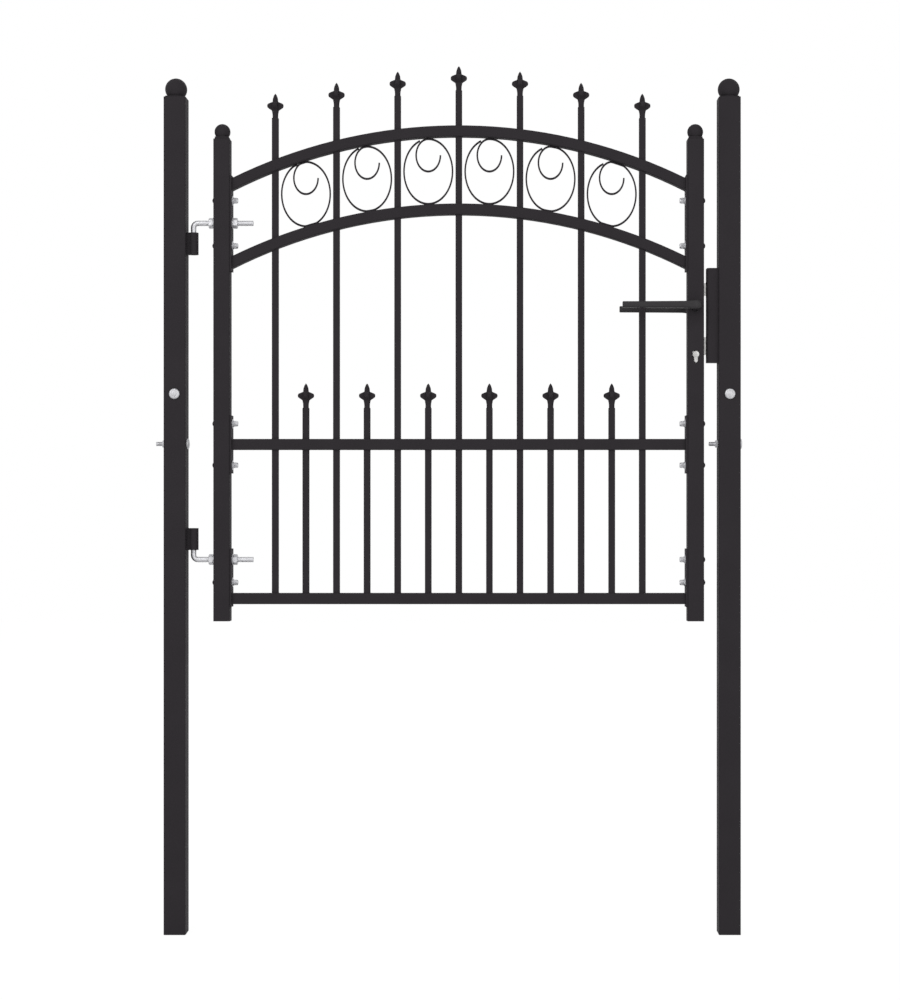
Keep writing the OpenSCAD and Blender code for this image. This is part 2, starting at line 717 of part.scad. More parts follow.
// The lever seen from above, from its axis; its grip lies between y = -outer and -inner
module lever_plan(root, outer) {
    inner = outer - lever_grip_t;
    elbow = lever_bend + lever_grip_t;
    difference() {
        union() {
            translate([-lever_neck_r, elbow - outer]) square([2 * lever_neck_r, outer - elbow - root]);
            translate([-lever_neck_r, -outer]) square([2 * lever_neck_r - elbow, elbow]);
            translate([-lever_len, -outer]) square([lever_len - lever_neck_r, lever_grip_t]);
            translate([-lever_neck_r - lever_bend, -inner]) square(lever_bend);
            intersection() {
                translate([lever_neck_r - elbow, elbow - outer]) circle(r = elbow, $fn = 64);
                translate([lever_neck_r - elbow, -outer]) square(elbow);
            }
        }
        translate([-lever_neck_r - lever_bend, lever_bend - inner]) circle(r = lever_bend, $fn = 48);
    }
}

module lever() {
    root = stile_w / 2 + 0.6;
    outer = stile_w / 2 + lever_stand + lever_grip_t / 2;
    hole_w = spindle_w + fit;
    translate([lock_x, 0, lever_z]) difference() {
        intersection() {
            rotate([90, 0, 0]) linear_extrude(height = outer) lever_elevation();
            translate([0, 0, -lever_neck_r]) linear_extrude(height = 2 * lever_neck_r)
                lever_plan(root, outer);
        }
        translate([-hole_w / 2, -stile_w / 2 - lever_stand, -hole_w / 2])
            cube([hole_w, lever_stand + cut, hole_w]);
    }
}

module front_lever() { color(black) lever(); }
module back_lever() { color(black) mirror([0, 1, 0]) lever(); }

module lever_spindle() {
    reach = stile_w / 2 + lever_stand - fit;
    color(zinc) translate([lock_x - spindle_w / 2, -reach, lever_z - spindle_w / 2])
        cube([spindle_w, 2 * reach, spindle_w]);
}

hinge_post();
latch_post();
hinge_post_cap();
latch_post_cap();
hinge_post_bolts();
latch_post_bolts();
top_hinge_barrel();
bottom_hinge_barrel();
keeper();
hinge_stile();
latch_stile();
hinge_stile_cap();
latch_stile_cap();
hinge_end_plates();
latch_end_plates();
hinge_stile_bolts();
latch_stile_bolts();
upper_arch_rail();
lower_arch_rail();
middle_rail();
bottom_rail();
long_bar(1);  // long_bar_1
long_bar(2);  // long_bar_2
long_bar(3);  // long_bar_3
long_bar(4);  // long_bar_4
long_bar(5);  // long_bar_5
long_bar(6);  // long_bar_6
long_bar(7);  // long_bar_7
short_bar(1);  // short_bar_1
short_bar(2);  // short_bar_2
short_bar(3);  // short_bar_3
short_bar(4);  // short_bar_4
short_bar(5);  // short_bar_5
short_bar(6);  // short_bar_6
long_spears();
short_spears();
scrolls();
top_hinge_rod();
bottom_hinge_rod();
hinge_rod_nuts();
lock_case();
lock_cylinder();
latch_bolt();
deadbolt();
front_lever();
back_lever();
lever_spindle();
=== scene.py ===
# %% [markdown]
# # Spear-top steel gate
# A small garden gate: one arched leaf of square steel tube, hung between two square posts. The tubes are
# welded together and powder coated black in one go. Hinge rods, nuts and the bolts of the posts are zinc
# plated and fitted after the coating, so they stay silver. This lesson keeps the exact tubes of the
# construction model and gives them their finish. It makes the hardware, the spears and the wire scrolls
# again, with the detail that shows from close by.

# %% Load the frame
import json
import math

import bmesh
import bpy
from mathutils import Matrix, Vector


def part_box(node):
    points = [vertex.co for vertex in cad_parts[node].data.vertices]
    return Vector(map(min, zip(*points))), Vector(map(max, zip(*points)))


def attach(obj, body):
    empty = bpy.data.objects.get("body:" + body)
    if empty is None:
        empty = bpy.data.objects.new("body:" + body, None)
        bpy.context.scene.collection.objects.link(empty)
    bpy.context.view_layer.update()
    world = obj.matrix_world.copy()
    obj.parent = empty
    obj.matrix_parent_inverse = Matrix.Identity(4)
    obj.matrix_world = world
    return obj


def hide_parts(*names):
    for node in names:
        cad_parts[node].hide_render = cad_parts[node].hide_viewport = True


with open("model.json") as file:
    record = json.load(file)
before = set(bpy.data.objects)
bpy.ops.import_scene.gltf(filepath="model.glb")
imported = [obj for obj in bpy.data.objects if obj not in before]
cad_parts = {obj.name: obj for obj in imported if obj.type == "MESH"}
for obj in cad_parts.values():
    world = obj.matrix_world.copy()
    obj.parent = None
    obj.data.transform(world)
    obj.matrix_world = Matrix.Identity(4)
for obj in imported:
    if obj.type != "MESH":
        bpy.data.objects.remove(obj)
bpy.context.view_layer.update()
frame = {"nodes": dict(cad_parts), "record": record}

MM = 0.001
TINY = 1e-6
MATHS = "ShaderNodeMath"
scene = bpy.context.scene

# %% [markdown]
# ## Helpers for colours, nodes and objects
# Paint makers give colours as sRGB hex values, and shaders want linear light. One function turns the first
# into the second. Another adds a node to any tree: it sets the node's own settings, and it fills each input
# with a plain value or with a link from another node's output. Where a rule takes many steps, a table with
# one row for each step reads better than a line of calls, so a third function adds nodes from such a table.
# Two short ones start a material and put an object in the scene.


# %% Colour, node and object helpers
def linear(hex_colour):
    """An sRGB hex colour as the linear RGBA that a shader takes."""
    parts = [int(hex_colour[i:i + 2], 16) / 255 for i in (1, 3, 5)]
    return [c / 12.92 if c <= 0.04045 else ((c + 0.055) / 1.055) ** 2.4 for c in parts] + [1.0]


def socket(sockets, key):
    """The shown socket with that name, or the one with that number."""
    return sockets[key] if isinstance(key, int) else next(s for s in sockets if s.name == key and s.enabled)


def put(tree, kind, inputs=None, out=0, **settings):
    """Adds a node of that kind with its settings, fills its inputs by name or in order, and gives an output."""
    made = tree.nodes.new(kind)
    for name, value in settings.items():
        setattr(made, name, value)
    pairs = inputs.items() if isinstance(inputs, dict) else enumerate(inputs or ())
    for key, value in pairs:
        target = socket(made.inputs, key)
        if isinstance(value, bpy.types.NodeSocket):
            tree.links.new(value, target)
        else:
            target.default_value = value
    return socket(made.outputs, out) if len(made.outputs) else made


def put_rows(tree, kind, known, rows):
    """Adds one node for each row of a name, an operation and its parts. A part is a value or a known name."""
    for name, operation, *parts in rows:
        known[name] = put(tree, kind, [known.get(part, part) for part in parts], operation=operation)


def new_material(name):
    """A material with an empty tree, and that tree."""
    made = bpy.data.materials.new(name)
    made.use_nodes = True
    made.node_tree.nodes.clear()
    print("material:", name)
    return made, made.node_tree


def add_object(name, data):
    """A new object at the origin that shows in the scene."""
    made = bpy.data.objects.new(name, data)
    scene.collection.objects.link(made)
    return made


print("near-black powder as linear light:", [round(c, 4) for c in linear("#322f32")[:3]])

# %% [markdown]
# ## The camera
# A catalogue view: the camera stands square in front of the gate at half its height and looks straight ahead,
# so all uprights stay upright. A lens of 70 mm from 3.6 m away keeps the perspective gentle, and a small
# sideways shift frames the gate without turning the camera.

# %% Camera
EYE_PLACE = (0.594, -3.57, 0.7937)
LENS_MM, SIDE_SHIFT = 70.06, -0.05

eye = add_object("camera", bpy.data.cameras.new("camera"))
eye.location = EYE_PLACE
eye.rotation_euler = (math.radians(90), 0, 0)
eye.data.lens = LENS_MM
eye.data.shift_x = SIDE_SHIFT
scene.camera = eye
print("camera stands at", [round(c, 3) for c in eye.location])

# %% [markdown]
# ## Backdrop, floor and light
# The world is a soft grey light for the object, and plain white for the camera and for mirrors, so that the
# zinc shows the same white studio that surrounds it. The floor mixes a pale matt paint with the same white
# and keeps a soft shadow under the gate. Two large square lamps light the front: a stronger one on the left
# and a weaker one on the right, so that the two sides of a tube differ a little.


# %% World
SKY_LIGHT, PLAIN_WHITE = 0.5, 1.0


def white_rays(tree):
    """1 for rays from the camera, from a mirror or through glass, and 0 for plain light."""
    seen = None
    for ray in ("Is Camera Ray", "Is Glossy Ray", "Is Transmission Ray"):
        path = put(tree, "ShaderNodeLightPath", out=ray)
        seen = path if seen is None else put(tree, MATHS, (seen, path), operation="MAXIMUM")
    return seen


scene.view_settings.view_transform = "Standard"
world = bpy.data.worlds.new("studio")
scene.world = world
world.use_nodes = True
sky = world.node_tree
sky.nodes.clear()
white = linear("#ffffff")
soft_light = put(sky, "ShaderNodeBackground", {"Color": white, "Strength": SKY_LIGHT})
seen_white = put(sky, "ShaderNodeBackground", {"Color": white, "Strength": PLAIN_WHITE})
backdrop = put(sky, "ShaderNodeMixShader", (white_rays(sky), soft_light, seen_white))
put(sky, "ShaderNodeOutputWorld", {"Surface": backdrop})
print("world:", len(sky.nodes), "nodes")

# %% Floor
FLOOR_GLOW, GLOW_SHARE = 1.06, 0.9
FLOOR_HALF = 9.0
floor_paint, tree = new_material("pale_studio_floor")
matt = put(tree, "ShaderNodeBsdfDiffuse", {"Color": linear("#f8f8f8")})
glow = put(tree, "ShaderNodeEmission", {"Color": white, "Strength": FLOOR_GLOW})
share = put(tree, MATHS, (white_rays(tree), GLOW_SHARE), operation="MULTIPLY")
both = put(tree, "ShaderNodeMixShader", (share, matt, glow))
put(tree, "ShaderNodeOutputMaterial", {"Surface": both})

floor_mesh = bpy.data.meshes.new("floor")
floor_mesh.from_pydata([(x * FLOOR_HALF, y * FLOOR_HALF, 0) for x, y in ((-1, -1), (1, -1), (1, 1), (-1, 1))],
                       [], [(0, 1, 2, 3)])
floor_mesh.materials.append(floor_paint)
floor = add_object("floor", floor_mesh)


# %% Lamps
GATE_MIDDLE = Vector((0.5, 0, 0.9))
LAMP_SIZE = 4.0


def softbox(name, place, power):
    """A square area lamp that shines at the middle of the gate."""
    lamp = bpy.data.lights.new(name, "AREA")
    lamp.size, lamp.energy = LAMP_SIZE, power
    holder = add_object(name, lamp)
    holder.location = place
    holder.rotation_euler = (GATE_MIDDLE - Vector(place)).to_track_quat("-Z", "Y").to_euler()


softbox("key_light", (-1.8, -3.6, 3.2), 78)
softbox("fill_light", (3.1, -3.6, 1.9), 52)

# %% [markdown]
# ## Black powder coat on steel
# Powder coat is dry polyester powder, sprayed on by static charge and baked to a tough skin. It is nearly
# matt, a warm near-black, and has a fine orange peel: soft bumps about two millimetres wide that only show in
# the shine. A noise of that size drives the bump, and a slower one varies colour and roughness a little, as
# the powder lies thicker in some places. A low specular level keeps the sides of the tubes dark where they
# are seen at a grazing angle.


# %% Paint
CLOUD_MM, CLOUD_LOW, CLOUD_HIGH = 60, 0.3, 0.7    # width of the slow noise, and where it mostly lies
ROUGH_SPREAD, PEEL_STRENGTH = 0.03, 0.3


def coating(name, light, dark, roughness, level, peel_mm, peel_depth_mm):
    """A skin of paint: colour and roughness vary slowly, and its bumps are peel_mm wide."""
    made, tree = new_material(name)
    where = put(tree, "ShaderNodeTexCoord", out="Object")
    peel = put(tree, "ShaderNodeTexNoise", {"Vector": where, "Scale": 1 / (peel_mm * MM), "Detail": 1.0})
    cloud = put(tree, "ShaderNodeTexNoise", {"Vector": where, "Scale": 1 / (CLOUD_MM * MM), "Detail": 2.0})
    dull = put(tree, "ShaderNodeMapRange", {"Value": cloud, "From Min": CLOUD_LOW, "From Max": CLOUD_HIGH,
                                            "To Min": roughness - ROUGH_SPREAD,
                                            "To Max": roughness + ROUGH_SPREAD})
    tint = put(tree, "ShaderNodeMix", {"Factor": cloud, "A": linear(light), "B": linear(dark)},
               out="Result", data_type="RGBA")
    skin = put(tree, "ShaderNodeBump", {"Height": peel, "Strength": PEEL_STRENGTH,
                                        "Distance": peel_depth_mm * MM})
    surface = put(tree, "ShaderNodeBsdfPrincipled", {"Base Color": tint, "Roughness": dull, "Normal": skin,
                                                     "Specular IOR Level": level})
    put(tree, "ShaderNodeOutputMaterial", {"Surface": surface})
    return made


powder_coat = coating("black_polyester_powder_coat", "#322f32", "#2e2b2e", 0.62, 0.05, 2.0, 0.02)

# %% [markdown]
# ## Lacquered zinc casting
# The levers are die-cast and lacquered black. Lacquer is thinner than powder and flows out, so it is smoother
# and a little shinier.

# %% Lever finish
lever_lacquer = coating("black_lacquer_on_die_cast_zinc", "#2f2d2f", "#2b292b", 0.42, 0.2, 1.0, 0.008)

# %% [markdown]
# ## Zinc plate and nickel
# Zinc plating is a thin electroplated layer on steel, passivated to a bluish silver. It is mottled, because
# the barrel in which the parts are plated rubs them together: patches two millimetres wide differ in tint and
# shine, and lie a little higher or lower. The hinge rods and nuts are bright, and the heads of the post bolts
# are duller. Nickel is warmer: light on the brass of the key cylinder, and grey on the steel bolts of the
# lock. All of them are metals, so their colour tints the mirror image.


# %% Plated metals
PATCH_LOW, PATCH_HIGH = 0.35, 0.65    # where the noise of the patches is cut off
SHINE_SPREAD, PATCH_RELIEF, RELIEF_STRENGTH = 0.06, 1 / 12, 0.7


def plating(name, light, dark, roughness, grain_mm):
    """A plated metal whose tint, shine and height vary in patches that are grain_mm wide."""
    made, tree = new_material(name)
    where = put(tree, "ShaderNodeTexCoord", out="Object")
    patch = put(tree, "ShaderNodeTexNoise", {"Vector": where, "Scale": 1 / (grain_mm * MM), "Detail": 3.0})
    spread = put(tree, "ShaderNodeMapRange", {"Value": patch, "From Min": PATCH_LOW, "From Max": PATCH_HIGH})
    dull = put(tree, "ShaderNodeMapRange", {"Value": spread, "To Min": roughness - SHINE_SPREAD,
                                            "To Max": roughness + SHINE_SPREAD})
    tint = put(tree, "ShaderNodeMix", {"Factor": spread, "A": linear(light), "B": linear(dark)},
               out="Result", data_type="RGBA")
    skin = put(tree, "ShaderNodeBump", {"Height": patch, "Strength": RELIEF_STRENGTH,
                                        "Distance": grain_mm * MM * PATCH_RELIEF})
    surface = put(tree, "ShaderNodeBsdfPrincipled", {"Base Color": tint, "Roughness": dull, "Normal": skin,
                                                     "Metallic": 1.0})
    put(tree, "ShaderNodeOutputMaterial", {"Surface": surface})
    return made


zinc_plate = plating("bright_zinc_plate_on_steel", "#d0d0d2", "#b9b9bd", 0.48, 2.2)
nickel_plate = plating("satin_nickel_on_brass", "#bdbcbb", "#a6a5a4", 0.34, 3.0)
dull_zinc = plating("dull_zinc_plate_on_post_bolts", "#c7c7c9", "#b0b0b3", 0.54, 2.0)
bolt_steel = plating("nickelled_bolt_steel", "#a2a1a0", "#959493", 0.38, 3.0)

FINISH_OF_SLOT = {"black_powder_coat": powder_coat, "zinc_hardware": zinc_plate,
                  "nickel_cylinder": nickel_plate}
slot_of = {part["node"]: part["material_slot"] for part in frame["record"]["subparts"]}
for name, part in frame["nodes"].items():
    part.material_slots[0].material = FINISH_OF_SLOT[slot_of[name]]
for name in ("latch_bolt", "deadbolt"):
    frame["nodes"][name].material_slots[0].material = bolt_steel
print("nodes with a finish:", len(slot_of))

# %% [markdown]
# ## Plain sizes
# The frame gives every node's box at rest, so all places below come from it: the tube that a bolt goes
# through, the height of a rod, the top of a bar. Sizes here are in millimetres, as on a workshop drawing.


# %% Sizes from the frame
def box(name):
    """Lowest and highest corner of a node at rest, in millimetres."""
    low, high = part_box(name)
    return [c / MM for c in low], [c / MM for c in high]


LONG_BARS = ["long_bar_%d" % k for k in range(1, 8)]
SHORT_BARS = ["short_bar_%d" % k for k in range(1, 7)]
BAR_W = 12
RAIL_W = 20
stile_x = [box("hinge_stile")[i][0] for i in (0, 1)] + [box("latch_stile")[i][0] for i in (0, 1)]
plate_x = [box("hinge_end_plates")[1][0], box("latch_end_plates")[0][0]]
post_x = [box("hinge_post")[i][0] for i in (0, 1)] + [box("latch_post")[i][0] for i in (0, 1)]
leaf_mid = (plate_x[0] + plate_x[1]) / 2
print("stiles at", [round(x, 1) for x in stile_x], "posts at", [round(x, 1) for x in post_x])

# %% [markdown]
# ## Shells from rings
# Most of the hardware is a row of rings: a turned bolt head, a cast spear or a bent lever all change their
# section along one line. A Screw modifier could turn the round ones, but rings that change their outline
# need a shell, which joins them with quads and closes both ends. Its normals are recalculated, and edges
# sharper than 35 degrees stay crisp, as they do on metal.


# %% Shells
METAL_EDGE, ROUND_EDGE, FINE_EDGE = 35, 50, 30


def smooth(mesh, crisp):
    """Shades a mesh smooth, apart from edges that are sharper than crisp degrees."""
    mesh.shade_smooth()
    mesh.set_sharp_from_angle(angle=math.radians(crisp))


def shell(name, rings):
    """A closed mesh through rings of points in mm. All rings have the same number of points."""
    count = len(rings[0])
    points = [tuple(c * MM for c in p) for ring in rings for p in ring]
    faces = [(j * count + k, j * count + (k + 1) % count, (j + 1) * count + (k + 1) % count, (j + 1) * count + k)
             for j in range(len(rings) - 1) for k in range(count)]
    faces += [tuple(range(count)), tuple(range(len(points) - count, len(points)))]
    made = bpy.data.meshes.new(name)
    made.from_pydata(points, [], faces)
    work = bmesh.new()
    work.from_mesh(made)
    bmesh.ops.recalc_face_normals(work, faces=work.faces)
    work.to_mesh(made)
    work.free()
    smooth(made, METAL_EDGE)
    return made


def turned(name, rows, sides=24):
    """A shell round Z. Each row is (radius, height) in mm, or a function of the angle that gives both."""
    rings = []
    for row in rows:
        ring = []
        for k in range(sides):
            turn = 2 * math.pi * k / sides
            r, z = row(turn) if callable(row) else row
            ring.append((r * math.cos(turn), r * math.sin(turn), z))
        rings.append(ring)
    return shell(name, rings)


# %% Rows of heads, nuts and threads
DOME_STEPS, NEARLY_TOP = 6, 0.03


def dome_rows(radius, height):
    """Rows of a cup head that stands on height 0, from its rim to its top."""
    ball = (radius ** 2 + height ** 2) / (2 * height)
    rim = math.asin(min(1, radius / ball))
    turns = [rim * (1 - k / DOME_STEPS) for k in range(DOME_STEPS)] + [NEARLY_TOP]
    return [(ball * math.sin(t), height - ball + ball * math.cos(t)) for t in turns]


CHAMFER_START = 0.47    # radius where a nut's chamfer starts, as a share of its width across flats
SIXTH, TWELFTH = math.pi / 3, math.pi / 6


def hexagon(across, z, up, first_flat):
    """Row of a hexagon whose corners are cut by the 30 degree chamfer of a nut."""
    def row(turn):
        r = across / 2 / math.cos((turn - first_flat + TWELFTH) % SIXTH - TWELFTH)
        return r, z + up * (r - CHAMFER_START * across) * math.tan(TWELFTH)
    return row


def nut_rows(across, z0, z1, first_flat=0.0):
    """Rows of a hexagon nut between two heights. Its first flat faces that direction."""
    face = CHAMFER_START * across
    return [(face, z0), hexagon(across, z0, 1, first_flat), hexagon(across, z1, -1, first_flat), (face, z1)]


TIP_CHAMFER, THREAD_DEPTH = 0.8, 0.25


def thread_rows(radius, z0, z1, pitch):
    """Rows of a threaded end: crest and root in turn, and a chamfer at its tip."""
    turns = int((z1 - z0 - TIP_CHAMFER) / pitch)
    rows = [(radius - depth, z0 + (k + part) * pitch)
            for k in range(turns) for part, depth in ((0.0, 0.0), (0.5, THREAD_DEPTH * pitch))]
    return rows + [(radius, z1 - TIP_CHAMFER), (radius - TIP_CHAMFER, z1)]


# %% [markdown]
# ## Bolts, nuts and screws, one of each
# The stiles are bolted to the end plates with cup-head bolts, whose heads show outside as small black domes
# and whose nuts sit inside on a washer. Larger bolts wait in the posts for the wall or for a second panel.
# Their heads are broad and nearly flat, with a shallow ring pressed into the top. Each kind is made once, as a
# pattern, with its seat at height zero: its rows give radius and height, as on a turner's drawing.

# %% Patterns of the fastenings
patterns = {}


def pattern(name, mesh):
    """Keeps a mesh as an object that the trees put in many places."""
    patterns[name] = bpy.data.objects.new(name, mesh)


STILE_GRIP = plate_x[0] - stile_x[0]
POST_GRIP = post_x[1] - post_x[0]
SMALL_HEAD_R, RIM = 5.7, 0.3
pattern("small_head", turned("small_head", [(3, -STILE_GRIP), (3, 0), (5.4, 0), (SMALL_HEAD_R, RIM)]
                             + [(r, z + RIM) for r, z in dome_rows(SMALL_HEAD_R, 3.3)][1:]))

washer = [(8.7, 0), (9, 0.25), (9, 1.35), (8.7, 1.6)]
spring_washer = [(5.6, 1.65), (5.9, 1.9), (5.9, 3), (5.6, 3.3)]
bolt_end = [(4.8, 8.3), (4.8, 9.7), (4.2, 10.5), (3, 10.6), (2.9, 9.8), (2.4, 9.9)]
pattern("small_nut", turned("small_nut", washer + spring_washer + nut_rows(10, 3.3, 8.3) + bolt_end, 48))

flat_head = [(9.3, 0), (9.8, 0.4), (9.8, 1.4), (9.5, 2.3), (8.8, 3.1), (7.8, 3.6), (6.6, 3.9)]
pressed_ring = [(6.2, 3.7), (5.8, 3.7), (5.4, 4.0), (3.2, 4.3), (0.3, 4.4)]
pattern("large_head", turned("large_head", [(4, -POST_GRIP), (4, 0)] + flat_head + pressed_ring, 40))
pattern("large_nut", turned("large_nut", nut_rows(13, 0, 5) + thread_rows(4, 5, 16.5, 1.25), 48))

thin_washer = [(9.7, 0), (10, 0.3), (10, 1.7), (9.7, 2)]
pattern("rod_nut", turned("rod_nut", thin_washer + nut_rows(17, 2, 10, math.pi / 2), 48))
pattern("forend_screw", turned("forend_screw", [(1.5, -6), (1.5, -2), (3.4, -0.1), (3.4, 0.1), (3.0, 0.3),
                                                (1.2, 0.3), (1.0, -0.6)]))
print("patterns:", {k: len(o.data.polygons) for k, o in patterns.items()})

# %% [markdown]
# ## The spear
# A cast spear has a round neck that stands on the bar, four rounded petals, and a lance with four faces. All
# of it can be seen from its own axis, so one rule gives its radius for every height and direction: the petals
# are a turned profile cut to a cross, and the lance is a diamond. Soft minimum and maximum round the places
# where they meet, as a casting has no sharp inner corners.

# %% Rule of the spear
SPEAR_H, REACH = 45.5, 15.3
PETAL_T, PETAL_R, PETAL_MID, PETAL_LOW = 8.0, 4.45, 23.0, 19.3
PETAL_OUT = REACH - PETAL_R    # from the axis to the middle of a petal's round
NECK_R, NECK_H = 5.15, 14.0
FOOT_H, FOOT_INSET, FOOT_CORNER = 2, 0.3, 1.3    # foot on the bar: height, gap to its edge, corner's share
LANCE_R, LANCE_Z = 5.3, 30.0
BLADE = SPEAR_H - LANCE_Z
STUB, STUB_R = -6, 4.7    # the spear's end inside the bar
NECK_LAP, LANCE_LAP = 1, 2    # how far the parts reach into each other
NECK_LINE = [(0, NECK_R), (7, NECK_R), (9.8, NECK_R + 0.5), (NECK_H, NECK_R + 1.3)]    # height, radius
PETAL_LINE = [(NECK_H - NECK_LAP, 3.4), (NECK_H, NECK_R + 0.5), (PETAL_LOW, PETAL_OUT + 2.6),
              (PETAL_MID + PETAL_R - 0.2, PETAL_OUT + 1.3), (LANCE_Z + 0.3, LANCE_R - 0.3), (LANCE_Z + 0.4, 0)]
LANCE_LINE = [(LANCE_Z, 1), (LANCE_Z + 0.43 * BLADE, 0.86), (LANCE_Z + 0.79 * BLADE, 0.48), (SPEAR_H, 0.03)]
PETAL_BLEND, CROSS_BLEND, NECK_BLEND, LANCE_BLEND, NO_BLEND = 0.4, 1.2, 0.8, 0.6, 0.01


def soft_max(a, b, k):
    """The larger of two values, with a blend k mm wide where they are near."""
    h = max(k - abs(a - b), 0) / k
    return max(a, b) + h * h * k / 4


def soft_min(a, b, k):
    """The smaller of two values, with the same blend."""
    return -soft_max(-a, -b, k)


def through(z, knots):
    """Value at z on a line through (z, value) knots."""
    for (z0, v0), (z1, v1) in zip(knots, knots[1:]):
        if z <= z1:
            return v0 + (v1 - v0) * max(0, z - z0) / (z1 - z0)
    return knots[-1][1]


def spear_radius(turn, z):
    """Radius of the spear in one direction, at height z above the bar's top."""
    across = abs((turn + math.pi / 4) % (math.pi / 2) - math.pi / 4)
    neck = through(z, NECK_LINE)
    if z < FOOT_H:
        flat = BAR_W / 2 - FOOT_INSET
        square = min(flat / max(math.cos(across), TINY), flat * FOOT_CORNER)
        neck += (square - neck) * (1 - max(z, 0) / FOOT_H) ** 2
    profile = through(z, PETAL_LINE)
    if abs(z - PETAL_MID) < PETAL_R:
        profile = soft_max(profile, PETAL_OUT + math.sqrt(PETAL_R ** 2 - (z - PETAL_MID) ** 2), PETAL_BLEND)
    half = PETAL_T / 2
    lobe = REACH - half
    cross = (lobe * math.cos(across) + math.sqrt(half ** 2 - (lobe * math.sin(across)) ** 2)
             if lobe * math.sin(across) < half else half / math.sin(across))
    petals = soft_min(profile, cross, CROSS_BLEND) if z > NECK_H - NECK_LAP else 0
    lance = LANCE_R * through(z, LANCE_LINE)
    lance = lance / (math.cos(across) + math.sin(across)) if z > LANCE_Z - LANCE_LAP else 0
    body = soft_max(neck if z < NECK_H + NECK_LAP else 0, petals, NECK_BLEND)
    return soft_max(body, lance, LANCE_BLEND if z < LANCE_Z + LANCE_LAP else NO_BLEND)


# %% Spear pattern
neck_heights = [STUB, 0, 0.5, 1, 1.5, 2, 5, 8, 10, 12, 13.2]
petal_heights = [14 + 0.7 * k for k in range(25)]
lance_heights = [31.3, 32.4, 34, 36.7, 39, 41, 42.25, 43.5, 44.6, 45.1, SPEAR_H]
rows = [(lambda turn, z=z: (STUB_R if z == STUB else spear_radius(turn, z), z))
        for z in neck_heights + petal_heights + lance_heights]
pattern("spear", turned("spear", rows, 64))
print("spear pattern:", len(patterns["spear"].data.polygons), "faces")

# %% [markdown]
# ## A tree that places patterns
# Bolts, nuts and spears repeat, so Geometry Nodes put them in place. The base is a mesh of loose points. Each
# point carries an arrow named aim, and the pattern's Z axis turns to it. The second pattern faces the other
# way at the far side of the tube, which is where a bolt has its nut. The tree realizes its copies and gives
# them their finish, and the result is kept as a plain mesh.


# %% Tree helpers
def new_tree(name, inputs):
    """A geometry tree with named inputs; gives the tree and its input node."""
    tree = bpy.data.node_groups.new(name, "GeometryNodeTree")
    tree.interface.new_socket("Geometry", in_out="INPUT", socket_type="NodeSocketGeometry")
    tree.interface.new_socket("Geometry", in_out="OUTPUT", socket_type="NodeSocketGeometry")
    for key, kind in inputs.items():
        tree.interface.new_socket(key, in_out="INPUT", socket_type="NodeSocket" + kind)
    return tree, tree.nodes.new("NodeGroupInput").outputs


def base_mesh(name, lines, closed=False, **fields):
    """Points in mm, joined line by line, with a value or an arrow at each point for every field."""
    made = bpy.data.meshes.new(name)
    points = [tuple(c * MM for c in p) for line in lines for p in line]
    edges, start = [], 0
    for line in lines:
        edges += [(start + k, start + k + 1) for k in range(len(line) - 1)]
        if closed:
            edges.append((start + len(line) - 1, start))
        start += len(line)
    made.from_pydata(points, edges, [])
    for key, values in fields.items():
        arrows = isinstance(values[0], (tuple, list))
        layer = made.attributes.new(key, "FLOAT_VECTOR" if arrows else "FLOAT", "POINT")
        for item, value in zip(layer.data, values):
            if arrows:
                item.vector = value
            else:
                item.value = value
    return made


def grow(name, base, tree, body, stands_for, values):
    """Runs a tree on a base mesh, keeps the result as a plain mesh, and hangs it on its body."""
    piece = add_object(name, base)
    step = piece.modifiers.new("tree", "NODES")
    step.node_group = tree
    for item in tree.interface.items_tree:
        if item.in_out == "INPUT" and item.name in values:
            step[item.identifier] = values[item.name]
    graph = bpy.context.evaluated_depsgraph_get()
    result = bpy.data.meshes.new_from_object(piece.evaluated_get(graph), depsgraph=graph)
    piece.modifiers.remove(step)
    piece.data = result
    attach(piece, body)
    if stands_for:
        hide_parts(*stands_for)
    print(name, "->", len(result.polygons), "faces")
    return piece


# %% Tree: patterns on points
place_tree, given = new_tree("place_patterns", {"Front": "Object", "Far": "Object", "Grip": "Float",
                                                "Front finish": "Material", "Far finish": "Material"})
aim = put(place_tree, "GeometryNodeInputNamedAttribute", {"Name": "aim"}, data_type="FLOAT_VECTOR")
sides = []
for part, finish, sign in (("Front", "Front finish", 1), ("Far", "Far finish", -1)):
    arrow = put(place_tree, "ShaderNodeVectorMath", {0: aim, "Scale": sign}, operation="SCALE")
    reach = put(place_tree, MATHS, {0: given["Grip"], 1: -0.5 + 0.5 * sign}, operation="MULTIPLY")
    move = put(place_tree, "ShaderNodeVectorMath", {0: aim, "Scale": reach}, operation="SCALE")
    turn = put(place_tree, "FunctionNodeAlignRotationToVector", {"Vector": arrow}, axis="Z")
    spots = put(place_tree, "GeometryNodeSetPosition", {"Geometry": given["Geometry"], "Offset": move})
    shape = put(place_tree, "GeometryNodeObjectInfo", {"Object": given[part]}, out="Geometry")
    copies = put(place_tree, "GeometryNodeInstanceOnPoints",
                 {"Points": spots, "Instance": shape, "Rotation": turn})
    real = put(place_tree, "GeometryNodeRealizeInstances", {"Geometry": copies})
    sides.append(put(place_tree, "GeometryNodeSetMaterial", {"Geometry": real, "Material": given[finish]}))
joined = place_tree.nodes.new("GeometryNodeJoinGeometry")
for side in reversed(sides):
    place_tree.links.new(side, joined.inputs[0])
put(place_tree, "NodeGroupOutput", {"Geometry": joined.outputs[0]})
print("tree that places patterns:", len(place_tree.nodes), "nodes")

# %% [markdown]
# ## Bolts in the stiles and posts
# The heights come from the boxes of the plain bolts in the frame: their loose meshes are split into islands,
# and the middle of each island is the axis of one bolt.


